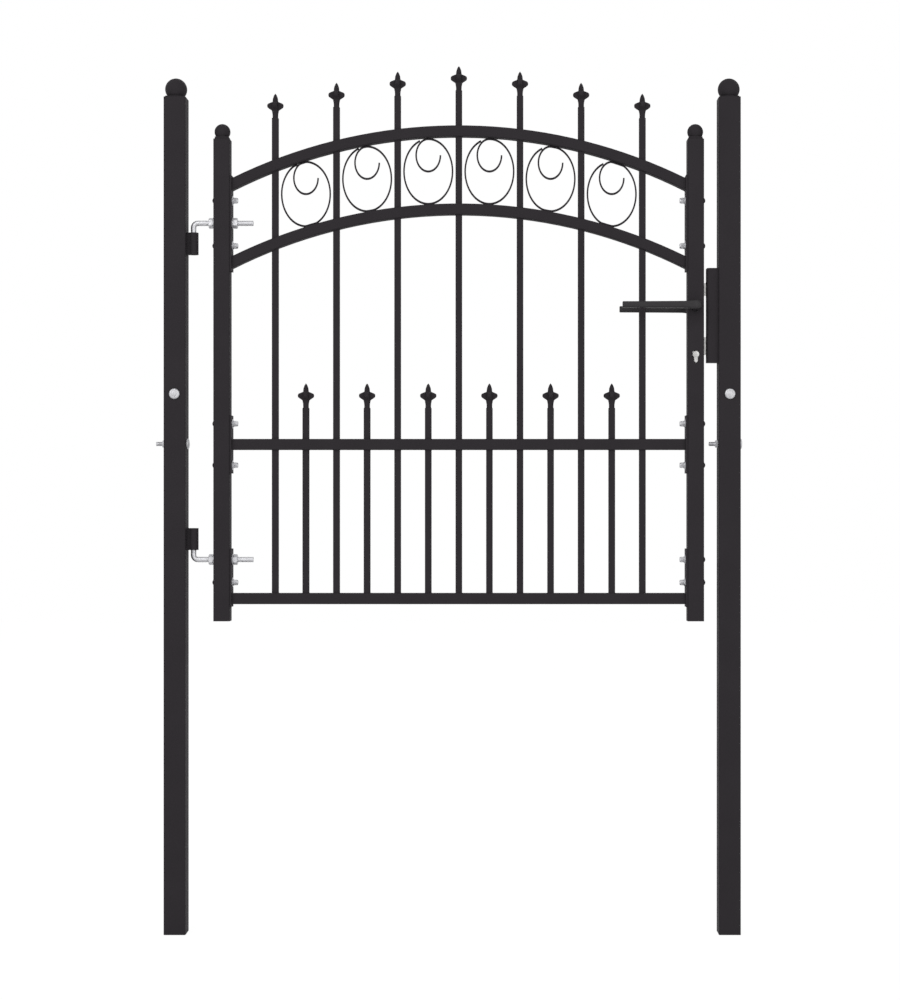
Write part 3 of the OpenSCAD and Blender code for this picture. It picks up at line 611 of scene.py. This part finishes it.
# %% Places of the bolts
HEAD_SEAT_R = 10    # from a post bolt's axis to the edge of its node's box


def islands(name):
    """Boxes in mm of the separate solids of a node."""
    work = bmesh.new()
    work.from_mesh(frame["nodes"][name].data)
    bmesh.ops.remove_doubles(work, verts=work.verts, dist=1e-5)
    left, found = set(work.verts), []
    while left:
        todo, group = [left.pop()], []
        while todo:
            vert = todo.pop()
            group.append(vert.co / MM)
            for edge in vert.link_edges:
                other = edge.other_vert(vert)
                if other in left:
                    left.remove(other)
                    todo.append(other)
        found.append([[f(c[i] for c in group) for i in range(3)] for f in (min, max)])
    work.free()
    return sorted(found, key=lambda b: (b[0][2], b[0][0]))


for side, x, out in (("hinge", stile_x[0], -1), ("latch", stile_x[3], 1)):
    levels = [(b[0][2] + b[1][2]) / 2 for b in islands(side + "_stile_bolts")]
    grow(side + "_stile_bolt_set", base_mesh("spots", [[(x, 0, z)] for z in levels],
                                             aim=[(out, 0, 0)] * len(levels)),
         place_tree, "leaf", [side + "_stile_bolts"],
         {"Front": patterns["small_head"], "Far": patterns["small_nut"], "Grip": STILE_GRIP * MM,
          "Front finish": powder_coat, "Far finish": zinc_plate})
for side, x in (("hinge", post_x[0:2]), ("latch", post_x[2:4])):
    mid = (x[0] + x[1]) / 2
    low, high = box(side + "_post_bolts")
    through_side = (x[1], 0, low[2] + HEAD_SEAT_R)
    through_front = (mid, -POST_GRIP / 2, high[2] - HEAD_SEAT_R)
    grow(side + "_post_bolt_set", base_mesh("spots", [[through_side], [through_front]],
                                            aim=[(1, 0, 0), (0, -1, 0)]),
         place_tree, "posts", [side + "_post_bolts"],
         {"Front": patterns["large_head"], "Far": patterns["large_nut"], "Grip": POST_GRIP * MM,
          "Front finish": dull_zinc, "Far finish": zinc_plate})

# %% [markdown]
# ## Spears on their bars
# Every bar ends in a spear, which is cast on its own and set into the bar's open end. The same tree puts one
# on the top of each bar's box. A spear has nothing at a far side, so the second pattern stays empty.

# %% Spears
for kind, bars in (("long", LONG_BARS), ("short", SHORT_BARS)):
    tops = [((box(n)[0][0] + box(n)[1][0]) / 2, 0, box(n)[1][2]) for n in bars]
    grow(kind + "_cast_spears", base_mesh("spots", [[p] for p in tops], aim=[(0, 0, 1)] * len(tops)),
         place_tree, "leaf", [kind + "_spears"],
         {"Front": patterns["spear"], "Front finish": powder_coat})

# %% [markdown]
# ## A tree that sweeps rods, wires and weld beads
# A threaded rod, a scroll wire and a weld bead are all a round section that follows a line. This tree turns
# the base mesh's lines into curves and sweeps a circle along them. A wave then presses grooves into the
# surface. If the wave also turns with the section it becomes a thread, and if it doesn't it becomes the
# ripples of a weld. The field named groove says where along the line the wave works.

# %% Tree: rods and beads
sweep_tree, given = new_tree("sweep_round_section", {
    "Radius": "Float", "Around": "Int", "Pitch": "Float", "Depth": "Float", "Helix": "Float",
    "Chamfer": "Float", "Unevenness": "Float", "Finish": "Material"})
here = put(sweep_tree, "GeometryNodeSplineParameter", out="Length")
length = put(sweep_tree, "GeometryNodeSplineLength", out="Length")
rest = put(sweep_tree, MATHS, (length, here), operation="SUBTRACT")
end = put(sweep_tree, MATHS, (here, rest), operation="MINIMUM")
line = put(sweep_tree, "GeometryNodeMeshToCurve", {"Mesh": given["Geometry"]})
for name, value in (("along", here), ("end", end)):
    line = put(sweep_tree, "GeometryNodeStoreNamedAttribute",
               {"Geometry": line, "Name": name, "Value": value}, data_type="FLOAT", domain="POINT")
ring = put(sweep_tree, "GeometryNodeCurvePrimitiveCircle",
           {"Resolution": given["Around"], "Radius": given["Radius"]}, out="Curve")
share = put(sweep_tree, "GeometryNodeSplineParameter", out="Factor")
ring = put(sweep_tree, "GeometryNodeStoreNamedAttribute",
           {"Geometry": ring, "Name": "around", "Value": share}, data_type="FLOAT", domain="POINT")
tube = put(sweep_tree, "GeometryNodeCurveToMesh", {"Curve": line, "Profile Curve": ring, "Fill Caps": True})

# %% Grooves in the swept surface
ROUGH_MM = 4    # width of the uneven patches
known = dict(given.items())
for name in ("along", "end", "around", "groove"):
    known[name] = put(sweep_tree, "GeometryNodeInputNamedAttribute", {"Name": name}, data_type="FLOAT")
known["noise"] = put(sweep_tree, "ShaderNodeTexNoise", {"Scale": 1 / (ROUGH_MM * MM), "Detail": 1.0})
put_rows(sweep_tree, MATHS, known, (
    ("pitches", "DIVIDE", "along", "Pitch"),
    ("lead", "MULTIPLY_ADD", "around", "Helix", "pitches"),
    ("half wave", "PINGPONG", "lead", 0.5),
    ("wave", "MULTIPLY", "half wave", 2.0),
    ("cut", "MULTIPLY", "wave", "groove"),
    ("cut", "MULTIPLY", "cut", "Depth"),
    ("near the end", "SUBTRACT", "Chamfer", "end"),
    ("bevel", "MAXIMUM", "near the end", 0.0),
    ("cut", "MAXIMUM", "cut", "bevel"),
    ("rough", "MULTIPLY", "noise", "Unevenness"),
    ("cut", "ADD", "cut", "rough"),
    ("inward", "MULTIPLY", "cut", -1.0)))
outward = put(sweep_tree, "GeometryNodeInputNormal", out="Normal")
press = put(sweep_tree, "ShaderNodeVectorMath", {0: outward, "Scale": known["inward"]}, operation="SCALE")
tube = put(sweep_tree, "GeometryNodeSetPosition", {"Geometry": tube, "Offset": press})
tube = put(sweep_tree, "GeometryNodeRealizeInstances", {"Geometry": tube})
tube = put(sweep_tree, "GeometryNodeSetMaterial", {"Geometry": tube, "Material": given["Finish"]})
put(sweep_tree, "NodeGroupOutput", {"Geometry": tube})
print("tree that sweeps:", len(sweep_tree.nodes), "nodes")


def swept(name, lines, groove, body, slot_name, stands_for, closed=False, **sizes):
    """Sweeps a round section along lines in mm; groove holds 0 or 1 for every point."""
    values = {key: value if key in ("Around", "Helix") else value * MM for key, value in sizes.items()}
    values["Finish"] = zinc_plate if slot_name == "zinc_hardware" else powder_coat
    piece = grow(name, base_mesh("line", lines, closed, groove=groove), sweep_tree, body,
                 stands_for, values)
    smooth(piece.data, ROUND_EDGE)
    return piece


# %% [markdown]
# ## Hinge rods
# Each hinge is a piece of threaded rod, bent to a right angle. Its short leg sits in the barrel on the post,
# from above at the top hinge and from below at the other. Its long leg goes through the stile and is clamped
# by a nut on each side, so the gate can be adjusted. The level leg carries an M10 thread with a pitch of
# 1.5 mm. The line has a point every 0.375 mm there, which gives each turn of the thread four steps.

# %% Hinge rods and their nuts
ROD_R, BEND, PITCH = 5.0, 8.0, 1.5
STEPS_PER_TURN, BEND_STEPS = 4, 12
THREAD_PAST_STILE = 14
RUN_OUT, BEND_GAP = (1, 5), 1    # plain points after the thread, and before the bend
PIN_SHARES = (0.75, 0.5, 0.25, 0.03, 0.015, 0)    # points along the pin, closer at its chamfer
rod_nut_points = []
for name, way in (("top_hinge_rod", -1), ("bottom_hinge_rod", 1)):
    low, high = box(name)
    level = high[2] - ROD_R if way < 0 else low[2] + ROD_R
    pin_x, free_x, pin_z = low[0] + ROD_R, high[0], (low[2] if way < 0 else high[2])
    thread_end = stile_x[0] - THREAD_PAST_STILE
    count = round((free_x - thread_end) / (PITCH / STEPS_PER_TURN))
    path = [(free_x - (free_x - thread_end) * k / count, 0, level) for k in range(count)]
    plain = len(path)
    path += [(thread_end - step, 0, level) for step in RUN_OUT] + [(pin_x + BEND + BEND_GAP, 0, level)]
    path += [(pin_x + BEND - BEND * math.sin(a), 0, level + way * BEND * (1 - math.cos(a)))
             for a in (math.pi / 2 * k / BEND_STEPS for k in range(BEND_STEPS + 1))]
    span = pin_z - path[-1][2]
    path += [(pin_x, 0, pin_z - span * part) for part in PIN_SHARES]
    swept(name.replace("rod", "bent_rod"), [path], [1.0] * plain + [0.0] * (len(path) - plain), "leaf",
          "zinc_hardware", [name], Radius=ROD_R, Around=24, Pitch=PITCH, Depth=0.4, Helix=1.0, Chamfer=1.0,
          Unevenness=0.0)
    rod_nut_points += [[(stile_x[0], 0, level)], [(plate_x[0], 0, level)]]
grow("rod_nut_set", base_mesh("spots", rod_nut_points, aim=[(-1, 0, 0), (1, 0, 0)] * 2), place_tree, "leaf",
     ["hinge_rod_nuts"], {"Front": patterns["rod_nut"], "Front finish": zinc_plate})

# %% [markdown]
# ## Wire scrolls
# Each scroll is bent from one thin wire: it starts in a small loop, climbs to the top, and then runs once
# round a large ring that touches both arches. One rule draws both circles, so the whole path is worked out
# in the tree: the turn grows along the wire, and its scale jumps from the loop's to the ring's at the top.
# The ring is taller than it is wide, and it is held between the arches wherever they are closer than that.
# The wire is stretched upwards with its path, so the tree sweeps it flat and stretches it afterwards.

# %% Tree: scrolls between two arches
scroll_tree, given = new_tree("scrolls_between_arches", {
    "Half width": "Float", "Loop share": "Float", "Ring gap": "Float", "Arch radius": "Float",
    "Arch depth": "Float", "Upper centre": "Float", "Lower centre": "Float", "Middle": "Float",
    "Wire radius": "Float", "Wire stretch": "Float", "Finish": "Material"})

STEPS, WIRE_SIDES = 112, 12
LOOP_TURN, WHOLE_TURN = math.radians(270), math.radians(630)
spots = put(scroll_tree, "GeometryNodeStoreNamedAttribute",
            {"Geometry": given["Geometry"], "Name": "centre",
             "Value": put(scroll_tree, "GeometryNodeInputPosition")}, data_type="FLOAT_VECTOR", domain="POINT")
known = dict(given.items())
known["index"] = put(scroll_tree, "GeometryNodeInputIndex")
put_rows(scroll_tree, MATHS, known, (
    ("part", "DIVIDE", "index", float(STEPS)),
    ("whole turn", "SUBTRACT", WHOLE_TURN, "Ring gap"),
    ("turn", "MULTIPLY", "part", "whole turn")))
wire = put(scroll_tree, "GeometryNodeMeshLine", {"Count": STEPS + 1, "Offset": (MM, 0.0, 0.0)})
wire = put(scroll_tree, "GeometryNodeStoreNamedAttribute",
           {"Geometry": wire, "Name": "turn", "Value": known["turn"]}, data_type="FLOAT", domain="POINT")
wires = put(scroll_tree, "GeometryNodeInstanceOnPoints", {"Points": spots, "Instance": wire})
wires = put(scroll_tree, "GeometryNodeRealizeInstances", {"Geometry": wires})

# %% Path of the wire
for name in ("turn", "half_height"):
    known[name] = put(scroll_tree, "GeometryNodeInputNamedAttribute", {"Name": name}, data_type="FLOAT")
centre = put(scroll_tree, "GeometryNodeInputNamedAttribute", {"Name": "centre"}, data_type="FLOAT_VECTOR")
for name, axis in (("centre_x", "X"), ("centre_z", "Z")):
    known[name] = put(scroll_tree, "ShaderNodeSeparateXYZ", (centre,), out=axis)
put_rows(scroll_tree, MATHS, known, (
    ("in ring", "GREATER_THAN", "turn", LOOP_TURN),
    ("growth", "SUBTRACT", 1.0, "Loop share"),
    ("scale", "MULTIPLY_ADD", "in ring", "growth", "Loop share"),
    ("wide", "MULTIPLY", "Half width", "scale"),
    ("tall", "MULTIPLY", "half_height", "scale"),
    ("cosine", "COSINE", "turn"),
    ("path_x", "MULTIPLY_ADD", "wide", "cosine", "centre_x"),
    ("sine", "SINE", "turn"),
    ("swing", "MULTIPLY", "tall", "sine"),
    ("rise", "SUBTRACT", "half_height", "tall"),
    ("rise", "SUBTRACT", "rise", "swing"),
    ("off", "SUBTRACT", "path_x", "Middle"),
    ("off squared", "MULTIPLY", "off", "off"),
    ("inner", "SUBTRACT", "Arch radius", "Arch depth"),
    ("under", "MULTIPLY", "inner", "inner"),
    ("under", "SUBTRACT", "under", "off squared"),
    ("under", "SQRT", "under"),
    ("over", "MULTIPLY", "Arch radius", "Arch radius"),
    ("over", "SUBTRACT", "over", "off squared"),
    ("over", "SQRT", "over"),
    ("room", "MULTIPLY", "Wire radius", "Wire stretch"),
    ("room", "MULTIPLY", "room", "Arch radius"),
    ("room", "DIVIDE", "room", "over"),
    ("top", "ADD", "Upper centre", "under"),
    ("top", "SUBTRACT", "top", "room"),
    ("foot", "ADD", "Lower centre", "over"),
    ("foot", "ADD", "foot", "room"),
    ("height", "ADD", "centre_z", "rise"),
    ("height", "MINIMUM", "height", "top"),
    ("height", "MAXIMUM", "height", "foot"),
    ("flat", "SUBTRACT", "height", "centre_z"),
    ("flat", "DIVIDE", "flat", "Wire stretch")))

# %% Wire along its path
spot = put(scroll_tree, "ShaderNodeCombineXYZ", {"X": known["path_x"], "Z": known["flat"]})
wires = put(scroll_tree, "GeometryNodeSetPosition", {"Geometry": wires, "Position": spot})
ring = put(scroll_tree, "GeometryNodeCurvePrimitiveCircle",
           {"Resolution": WIRE_SIDES, "Radius": given["Wire radius"]}, out="Curve")
wires = put(scroll_tree, "GeometryNodeMeshToCurve", {"Mesh": wires})
wires = put(scroll_tree, "GeometryNodeCurveToMesh", {"Curve": wires, "Profile Curve": ring, "Fill Caps": True})
now = put(scroll_tree, "GeometryNodeInputPosition")
x, y, z = [put(scroll_tree, "ShaderNodeSeparateXYZ", (now,), out=axis) for axis in "XYZ"]
z = put(scroll_tree, MATHS, (z, given["Wire stretch"], known["centre_z"]), operation="MULTIPLY_ADD")
back = put(scroll_tree, "ShaderNodeCombineXYZ", {"X": x, "Y": y, "Z": z})
wires = put(scroll_tree, "GeometryNodeSetPosition", {"Geometry": wires, "Position": back})
wires = put(scroll_tree, "GeometryNodeRealizeInstances", {"Geometry": wires})
wires = put(scroll_tree, "GeometryNodeSetMaterial", {"Geometry": wires, "Material": given["Finish"]})
put(scroll_tree, "NodeGroupOutput", {"Geometry": wires})
print("tree of the scrolls:", len(scroll_tree.nodes), "nodes")

# %% Sizes of the arches
WIRE_R, STRETCH = 1.5, 1.34
LOOP_SHARE, RING_GAP = 0.5, math.radians(20)
LARGEST_ARCH, HALVINGS = 5000.0, 60    # where the search for the arch's radius starts, and its steps
crown = {part: box(part + "_arch_rail")[1][2] for part in ("upper", "lower")}
rail_half = (plate_x[1] - plate_x[0]) / 2
arch_rise = crown["upper"] - box("upper_arch_rail")[0][2]


def arch_radius_for(low):
    """Outer radius of an arch whose underside ends low mm below its crown."""
    small, large = rail_half, LARGEST_ARCH
    for _ in range(HALVINGS):
        mid = (small + large) / 2
        fall = mid - math.sqrt((mid - RAIL_W) ** 2 - rail_half ** 2)
        small, large = (mid, large) if fall > low else (small, mid)
    return small


arch_r = arch_radius_for(arch_rise)
half_width = box("scrolls")[1][0] - (box("short_bar_6")[0][0] + box("short_bar_6")[1][0]) / 2 - WIRE_R


def arch_z(part, x, under):
    """Height of an arch's top face or underside at x, in mm."""
    r = arch_r - RAIL_W if under else arch_r
    return crown[part] - arch_r + math.sqrt(r * r - (x - leaf_mid) ** 2)


print("arch radius", round(arch_r, 2), "ring half width", round(half_width, 2))

# %% Scrolls
spots, halves = [], []
for name in SHORT_BARS:
    x = (box(name)[0][0] + box(name)[1][0]) / 2
    top, foot = arch_z("upper", x, True), arch_z("lower", x, False)
    spots.append([(x, 0, (top + foot) / 2)])
    halves.append(((top - foot) / 2 - WIRE_R * STRETCH) * MM)
rings = grow("bent_wire_scrolls", base_mesh("spots", spots, half_height=halves), scroll_tree, "leaf",
             ["scrolls"],
             {"Half width": half_width * MM, "Loop share": LOOP_SHARE, "Ring gap": RING_GAP,
              "Arch radius": arch_r * MM, "Arch depth": RAIL_W * MM,
              "Upper centre": (crown["upper"] - arch_r) * MM, "Lower centre": (crown["lower"] - arch_r) * MM,
              "Middle": leaf_mid * MM, "Wire radius": WIRE_R * MM, "Wire stretch": STRETCH,
              "Finish": powder_coat})
smooth(rings.data, ROUND_EDGE)

# %% [markdown]
# ## Weld beads
# Every joint of the leaf is welded and then dressed, so only a low bead stays under the coating: round the
# ends of the rails, round the bars where they go through, on the hinge lugs and round the keeper. The beads
# are closed lines for the same sweep tree, with a point about every three millimetres, where the wave and
# some noise leave shallow, uneven ripples. All of them are rectangles, so one helper walks round a rectangle,
# and a function that it is given places each of its points in space.


# %% Lines of the beads
BEAD_STEP = 3.0
LEAF_BEAD = {"Radius": 0.9, "Depth": 0.15, "Unevenness": 0.5}
POST_BEAD = {"Radius": 1.3, "Depth": 0.2, "Unevenness": 0.6}


def bead_line(a_range, b_range, place):
    """Points round a rectangle, about BEAD_STEP mm apart. place makes a point in space of each a and b."""
    (a_low, a_high), (b_low, b_high) = a_range, b_range
    corners = [(a_low, b_low), (a_high, b_low), (a_high, b_high), (a_low, b_high)]
    line = []
    for (a0, b0), (a1, b1) in zip(corners, corners[1:] + corners[:1]):
        count = max(1, round(max(abs(a1 - a0), abs(b1 - b0)) / BEAD_STEP))
        line += [place(a0 + (a1 - a0) * k / count, b0 + (b1 - b0) * k / count) for k in range(count)]
    return line


def bead_round_bar(x, z_at):
    """A bead round the bar at x, on a face whose height is z_at(x)."""
    half = BAR_W / 2
    return bead_line((-half, half), (-half, half), lambda a, b: (x + a, b, z_at(x + a)))


def bead_on_face(x, half_y, z0, z1):
    """A bead round a rectangle on the upright face at x."""
    return bead_line((-half_y, half_y), (z0, z1), lambda y, z: (x, y, z))


def weld(name, beads, body, sizes):
    """Sweeps all beads of a body as one piece, with ripples along their whole length."""
    swept(name, beads, [1.0] * sum(len(b) for b in beads), body, "black_powder_coat", [], True, Around=6,
          Pitch=BEAD_STEP, Helix=0.0, Chamfer=0.0, **sizes)


# %% Beads of the leaf
leaf_beads = []
for rail in ("bottom_rail", "middle_rail"):
    (_, _, z0), (_, _, z1) = box(rail)
    leaf_beads += [bead_on_face(x, RAIL_W / 2, z0, z1) for x in plate_x]
for part in ("upper", "lower"):
    leaf_beads += [bead_on_face(x, RAIL_W / 2, arch_z(part, x, True), arch_z(part, x, False)) for x in plate_x]
for name in LONG_BARS + SHORT_BARS:
    (x0, _, _), (x1, _, _) = box(name)
    x = (x0 + x1) / 2
    levels = [box("bottom_rail")[1][2], box("middle_rail")[0][2], box("middle_rail")[1][2]]
    leaf_beads += [bead_round_bar(x, lambda _, z=z: z) for z in levels]
    if name in LONG_BARS:
        leaf_beads += [bead_round_bar(x, lambda at, p=part, u=under: arch_z(p, at, u))
                       for part in ("upper", "lower") for under in (True, False)]
weld("leaf_weld_beads", leaf_beads, "leaf", LEAF_BEAD)

# %% Beads of the posts
LUG_SHARE, LUG_INSET = 0.375, 1    # a hinge lug's half width as a share of its barrel's, and how much lower
post_beads = []
lug = LUG_SHARE * (box("top_hinge_barrel")[1][1] - box("top_hinge_barrel")[0][1])
for name in ("top_hinge_barrel", "bottom_hinge_barrel"):
    (x0, _, z0), (_, _, z1) = box(name)
    post_beads.append(bead_on_face(x0, lug, z0 + LUG_INSET, z1 - LUG_INSET))
(_, _, z0), (x1, y1, z1) = box("keeper")
post_beads.append(bead_on_face(x1, y1, z0, z1))
weld("post_weld_beads", post_beads, "posts", POST_BEAD)

# %% [markdown]
# ## Levers
# Both levers are die-cast: a round neck comes out of the stile, turns through a rounded elbow and flattens
# into a grip, whose lower edges are bevelled for the fingers. A loft fits this best. Its sections start as a
# circle and become a rectangle with soft corners, and in the elbow they turn about the inside of the bend.
# One formula gives them all: its power makes the corners fuller, and its bevel cuts the lower ones.


# %% Section of a lever
SIDES = 40
GRIP_T, BEND_R, ELBOW_H = 9.0, 5.0, 6.9
ROUND, SQUARED = 2, 4    # power of a circle, and of the grip
UNCUT, BEVELLED = 2, 1.55    # a bevel of 2 leaves the corners whole
DROOP = 0.2    # how much deeper the grip is below its axis than above
ELBOW_STEPS, ELBOW_TAPER = 12, 1.3
BEND_LEAD = 4    # from the neck's last ring to the bend
NECK_RINGS = ((0, 0.4), (0.4, 0), (5, 0))    # place from the stile, and inset
GRIP_RINGS = ((-5, 4.5, 6.5), (-12, 4.5, 6.35), (-40, 4.5, 6.15))    # place from the elbow, half sizes
TIP_RINGS = ((50, 4.5, 5.95), (10, 4.5, 5.75), (1.4, 4.45, 5.7), (0.5, 4.1, 5.4), (0, 3.4, 4.7))


def section(middle, side, half_side, up, down, power, bevel):
    """A ring round middle, round at power 2 and squarer with more. A bevel under 2 cuts its lower corners."""
    ring = []
    for k in range(SIDES):
        turn = 2 * math.pi * k / SIDES
        a, b = [math.copysign(abs(f) ** (2 / power), f) for f in (math.cos(turn), math.sin(turn))]
        cut = min(1, bevel / (abs(a) + abs(b))) if b < 0 else 1
        a, b = a * cut * half_side, b * cut * (up if b > 0 else down)
        ring.append((middle[0] + side[0] * a, middle[1] + side[1] * a, middle[2] + b))
    return ring


# %% Rings of a lever
def elbow_reach(shift, corner, c, s):
    """From the pivot to the outside of the bend, in the direction with that cosine and sine."""
    far = shift * c + math.sqrt(corner ** 2 - (shift * s) ** 2) if corner > shift * s else 0
    return corner / max(s, TINY) if far * c < shift else far


def lever_rings(low, high, front):
    """Rings of a lever inside its box, from the stile out along the neck and on to the tip."""
    neck_r = (high[2] - low[2]) / 2
    axis_x, axis_z = high[0] - neck_r, (low[2] + high[2]) / 2
    out = max(abs(low[1]), abs(high[1]))
    root = min(abs(low[1]), abs(high[1]))
    corner = BEND_R + GRIP_T
    pivot_x, pivot_y = axis_x - neck_r - BEND_R, out - corner
    neck = [(root + step, inset) for step, inset in NECK_RINGS] + [(pivot_y - BEND_LEAD, 0)]
    rings = [section((axis_x, -y, axis_z), (1, 0), *[neck_r - inset] * 3, ROUND, UNCUT) for y, inset in neck]
    for k in range(ELBOW_STEPS + 1):
        part = k / ELBOW_STEPS
        c, s = math.cos(math.pi / 2 * part), math.sin(math.pi / 2 * part)
        far = elbow_reach(2 * neck_r - GRIP_T, corner, c, s)
        mid = (BEND_R + far) / 2
        up = neck_r + (ELBOW_H - neck_r) * part ** ELBOW_TAPER
        rings.append(section((pivot_x + mid * c, -(pivot_y + mid * s), axis_z), (c, -s), (far - BEND_R) / 2,
                             up, up + DROOP * part, ROUND + (SQUARED - ROUND) * part,
                             UNCUT - (UNCUT - BEVELLED) * part))
    stations = [(pivot_x + step, half, up) for step, half, up in GRIP_RINGS]
    stations += [(low[0] + step, half, up) for step, half, up in TIP_RINGS]
    rings += [section((x, -(out - GRIP_T / 2), axis_z), (0, -1), half, up, up + DROOP, SQUARED, BEVELLED)
              for x, half, up in stations]
    return [[(x, y if front else -y, z) for x, y, z in ring] for ring in rings]


# %% Both levers
for name, front in (("front_lever", True), ("back_lever", False)):
    low, high = box(name)
    piece = add_object("cast_" + name, shell("cast_" + name, lever_rings(low, high, front)))
    piece.data.materials.append(lever_lacquer)
    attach(piece, "levers")
    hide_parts(name)
    print(name, "->", len(piece.data.polygons), "faces")

# %% [markdown]
# ## Key cylinder
# The lock takes a profile cylinder: a round barrel with a narrow web below it, in satin nickel. It stands out
# of the stile on both sides by two millimetres, and its rim is worn round. The face of the turning plug is a
# fine step prouder, with a keyway cut into it. Body and plugs are shells through outlines, joined as one mesh.


# %% Outline of the cylinder
HALF_WEB = 4.6
ARC_STEPS, WEB_STEPS, PLUG_SIDES = 36, 12, 32
RIM_STEPS = ((0.2, 1.6), (1.2, 0.7))    # depth behind the face, and inset
PLUG_RINGS = ((3.0, 5.2), (0.0, 5.2), (-0.1, 5.0))    # depth behind the face, and radius
KEYWAY_DEPTHS, KEYWAY_X, KEYWAY_Z = (-0.1, 2.9), 0.8, 3.6


def arc(radius, start, sweep, steps, middle=0.0):
    """Points on an arc in the plane of the gate, whose centre lies at the height of middle."""
    return [(radius * math.cos(start + sweep * k / steps), middle + radius * math.sin(start + sweep * k / steps))
            for k in range(steps + 1)]


def profile_outline(r, half_web, drop):
    """Outline of the profile: an arc round the barrel, and the web's round end."""
    gap = math.asin(half_web / r)
    return (arc(r, -math.pi / 2 + gap, 2 * math.pi - 2 * gap, ARC_STEPS)
            + arc(half_web, math.pi, math.pi, WEB_STEPS, -drop))


# %% Key cylinder
low, high = box("lock_cylinder")
barrel_r = (high[0] - low[0]) / 2
web_drop = high[2] - low[2] - barrel_r - HALF_WEB
cx, cz = (low[0] + high[0]) / 2, high[2] - barrel_r
ends = [(low[1] + depth, inset) for depth, inset in RIM_STEPS]
ends += [(high[1] - depth, inset) for depth, inset in reversed(RIM_STEPS)]
shells = [shell("profile", [[(cx + x, y, cz + z)
                             for x, z in profile_outline(barrel_r - inset, HALF_WEB - inset, web_drop)]
                            for y, inset in ends])]
ways = [(math.cos(2 * math.pi * k / PLUG_SIDES), math.sin(2 * math.pi * k / PLUG_SIDES))
        for k in range(PLUG_SIDES)]
keyway = [min(KEYWAY_X / max(abs(c), TINY), KEYWAY_Z / max(abs(s), TINY)) for c, s in ways]
for side in (-1, 1):
    rings = [(depth, [r] * PLUG_SIDES) for depth, r in PLUG_RINGS]
    rings += [(depth, keyway) for depth in KEYWAY_DEPTHS]
    shells.append(shell("plug", [[(cx + r * c, side * (high[1] - depth), cz + r * s)
                                  for (c, s), r in zip(ways, reaches)] for depth, reaches in rings]))
work = bmesh.new()
for part in shells:
    work.from_mesh(part)
cylinder_mesh = bpy.data.meshes.new("key_cylinder")
work.to_mesh(cylinder_mesh)
work.free()
smooth(cylinder_mesh, FINE_EDGE)
cylinder_mesh.materials.append(nickel_plate)
cylinder = add_object("key_cylinder", cylinder_mesh)
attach(cylinder, "leaf")
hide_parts("lock_cylinder")
print("key cylinder:", len(cylinder_mesh.polygons), "faces")

# %% [markdown]
# ## Last screws, and the end
# Two countersunk screws hold the lock's face plate. They are the last copies of a pattern, so after them the
# patterns are put away.

# %% Screws of the face plate
SCREW_INSET = 9
low, high = box("lock_case")
levels = (low[2] + SCREW_INSET, high[2] - SCREW_INSET)
grow("forend_screws", base_mesh("spots", [[(high[0], 0, z)] for z in levels], aim=[(1, 0, 0)] * len(levels)),
     place_tree, "leaf", [],
     {"Front": patterns["forend_screw"], "Front finish": zinc_plate})

# %% Put the patterns away
for made in patterns.values():
    bpy.data.objects.remove(made)
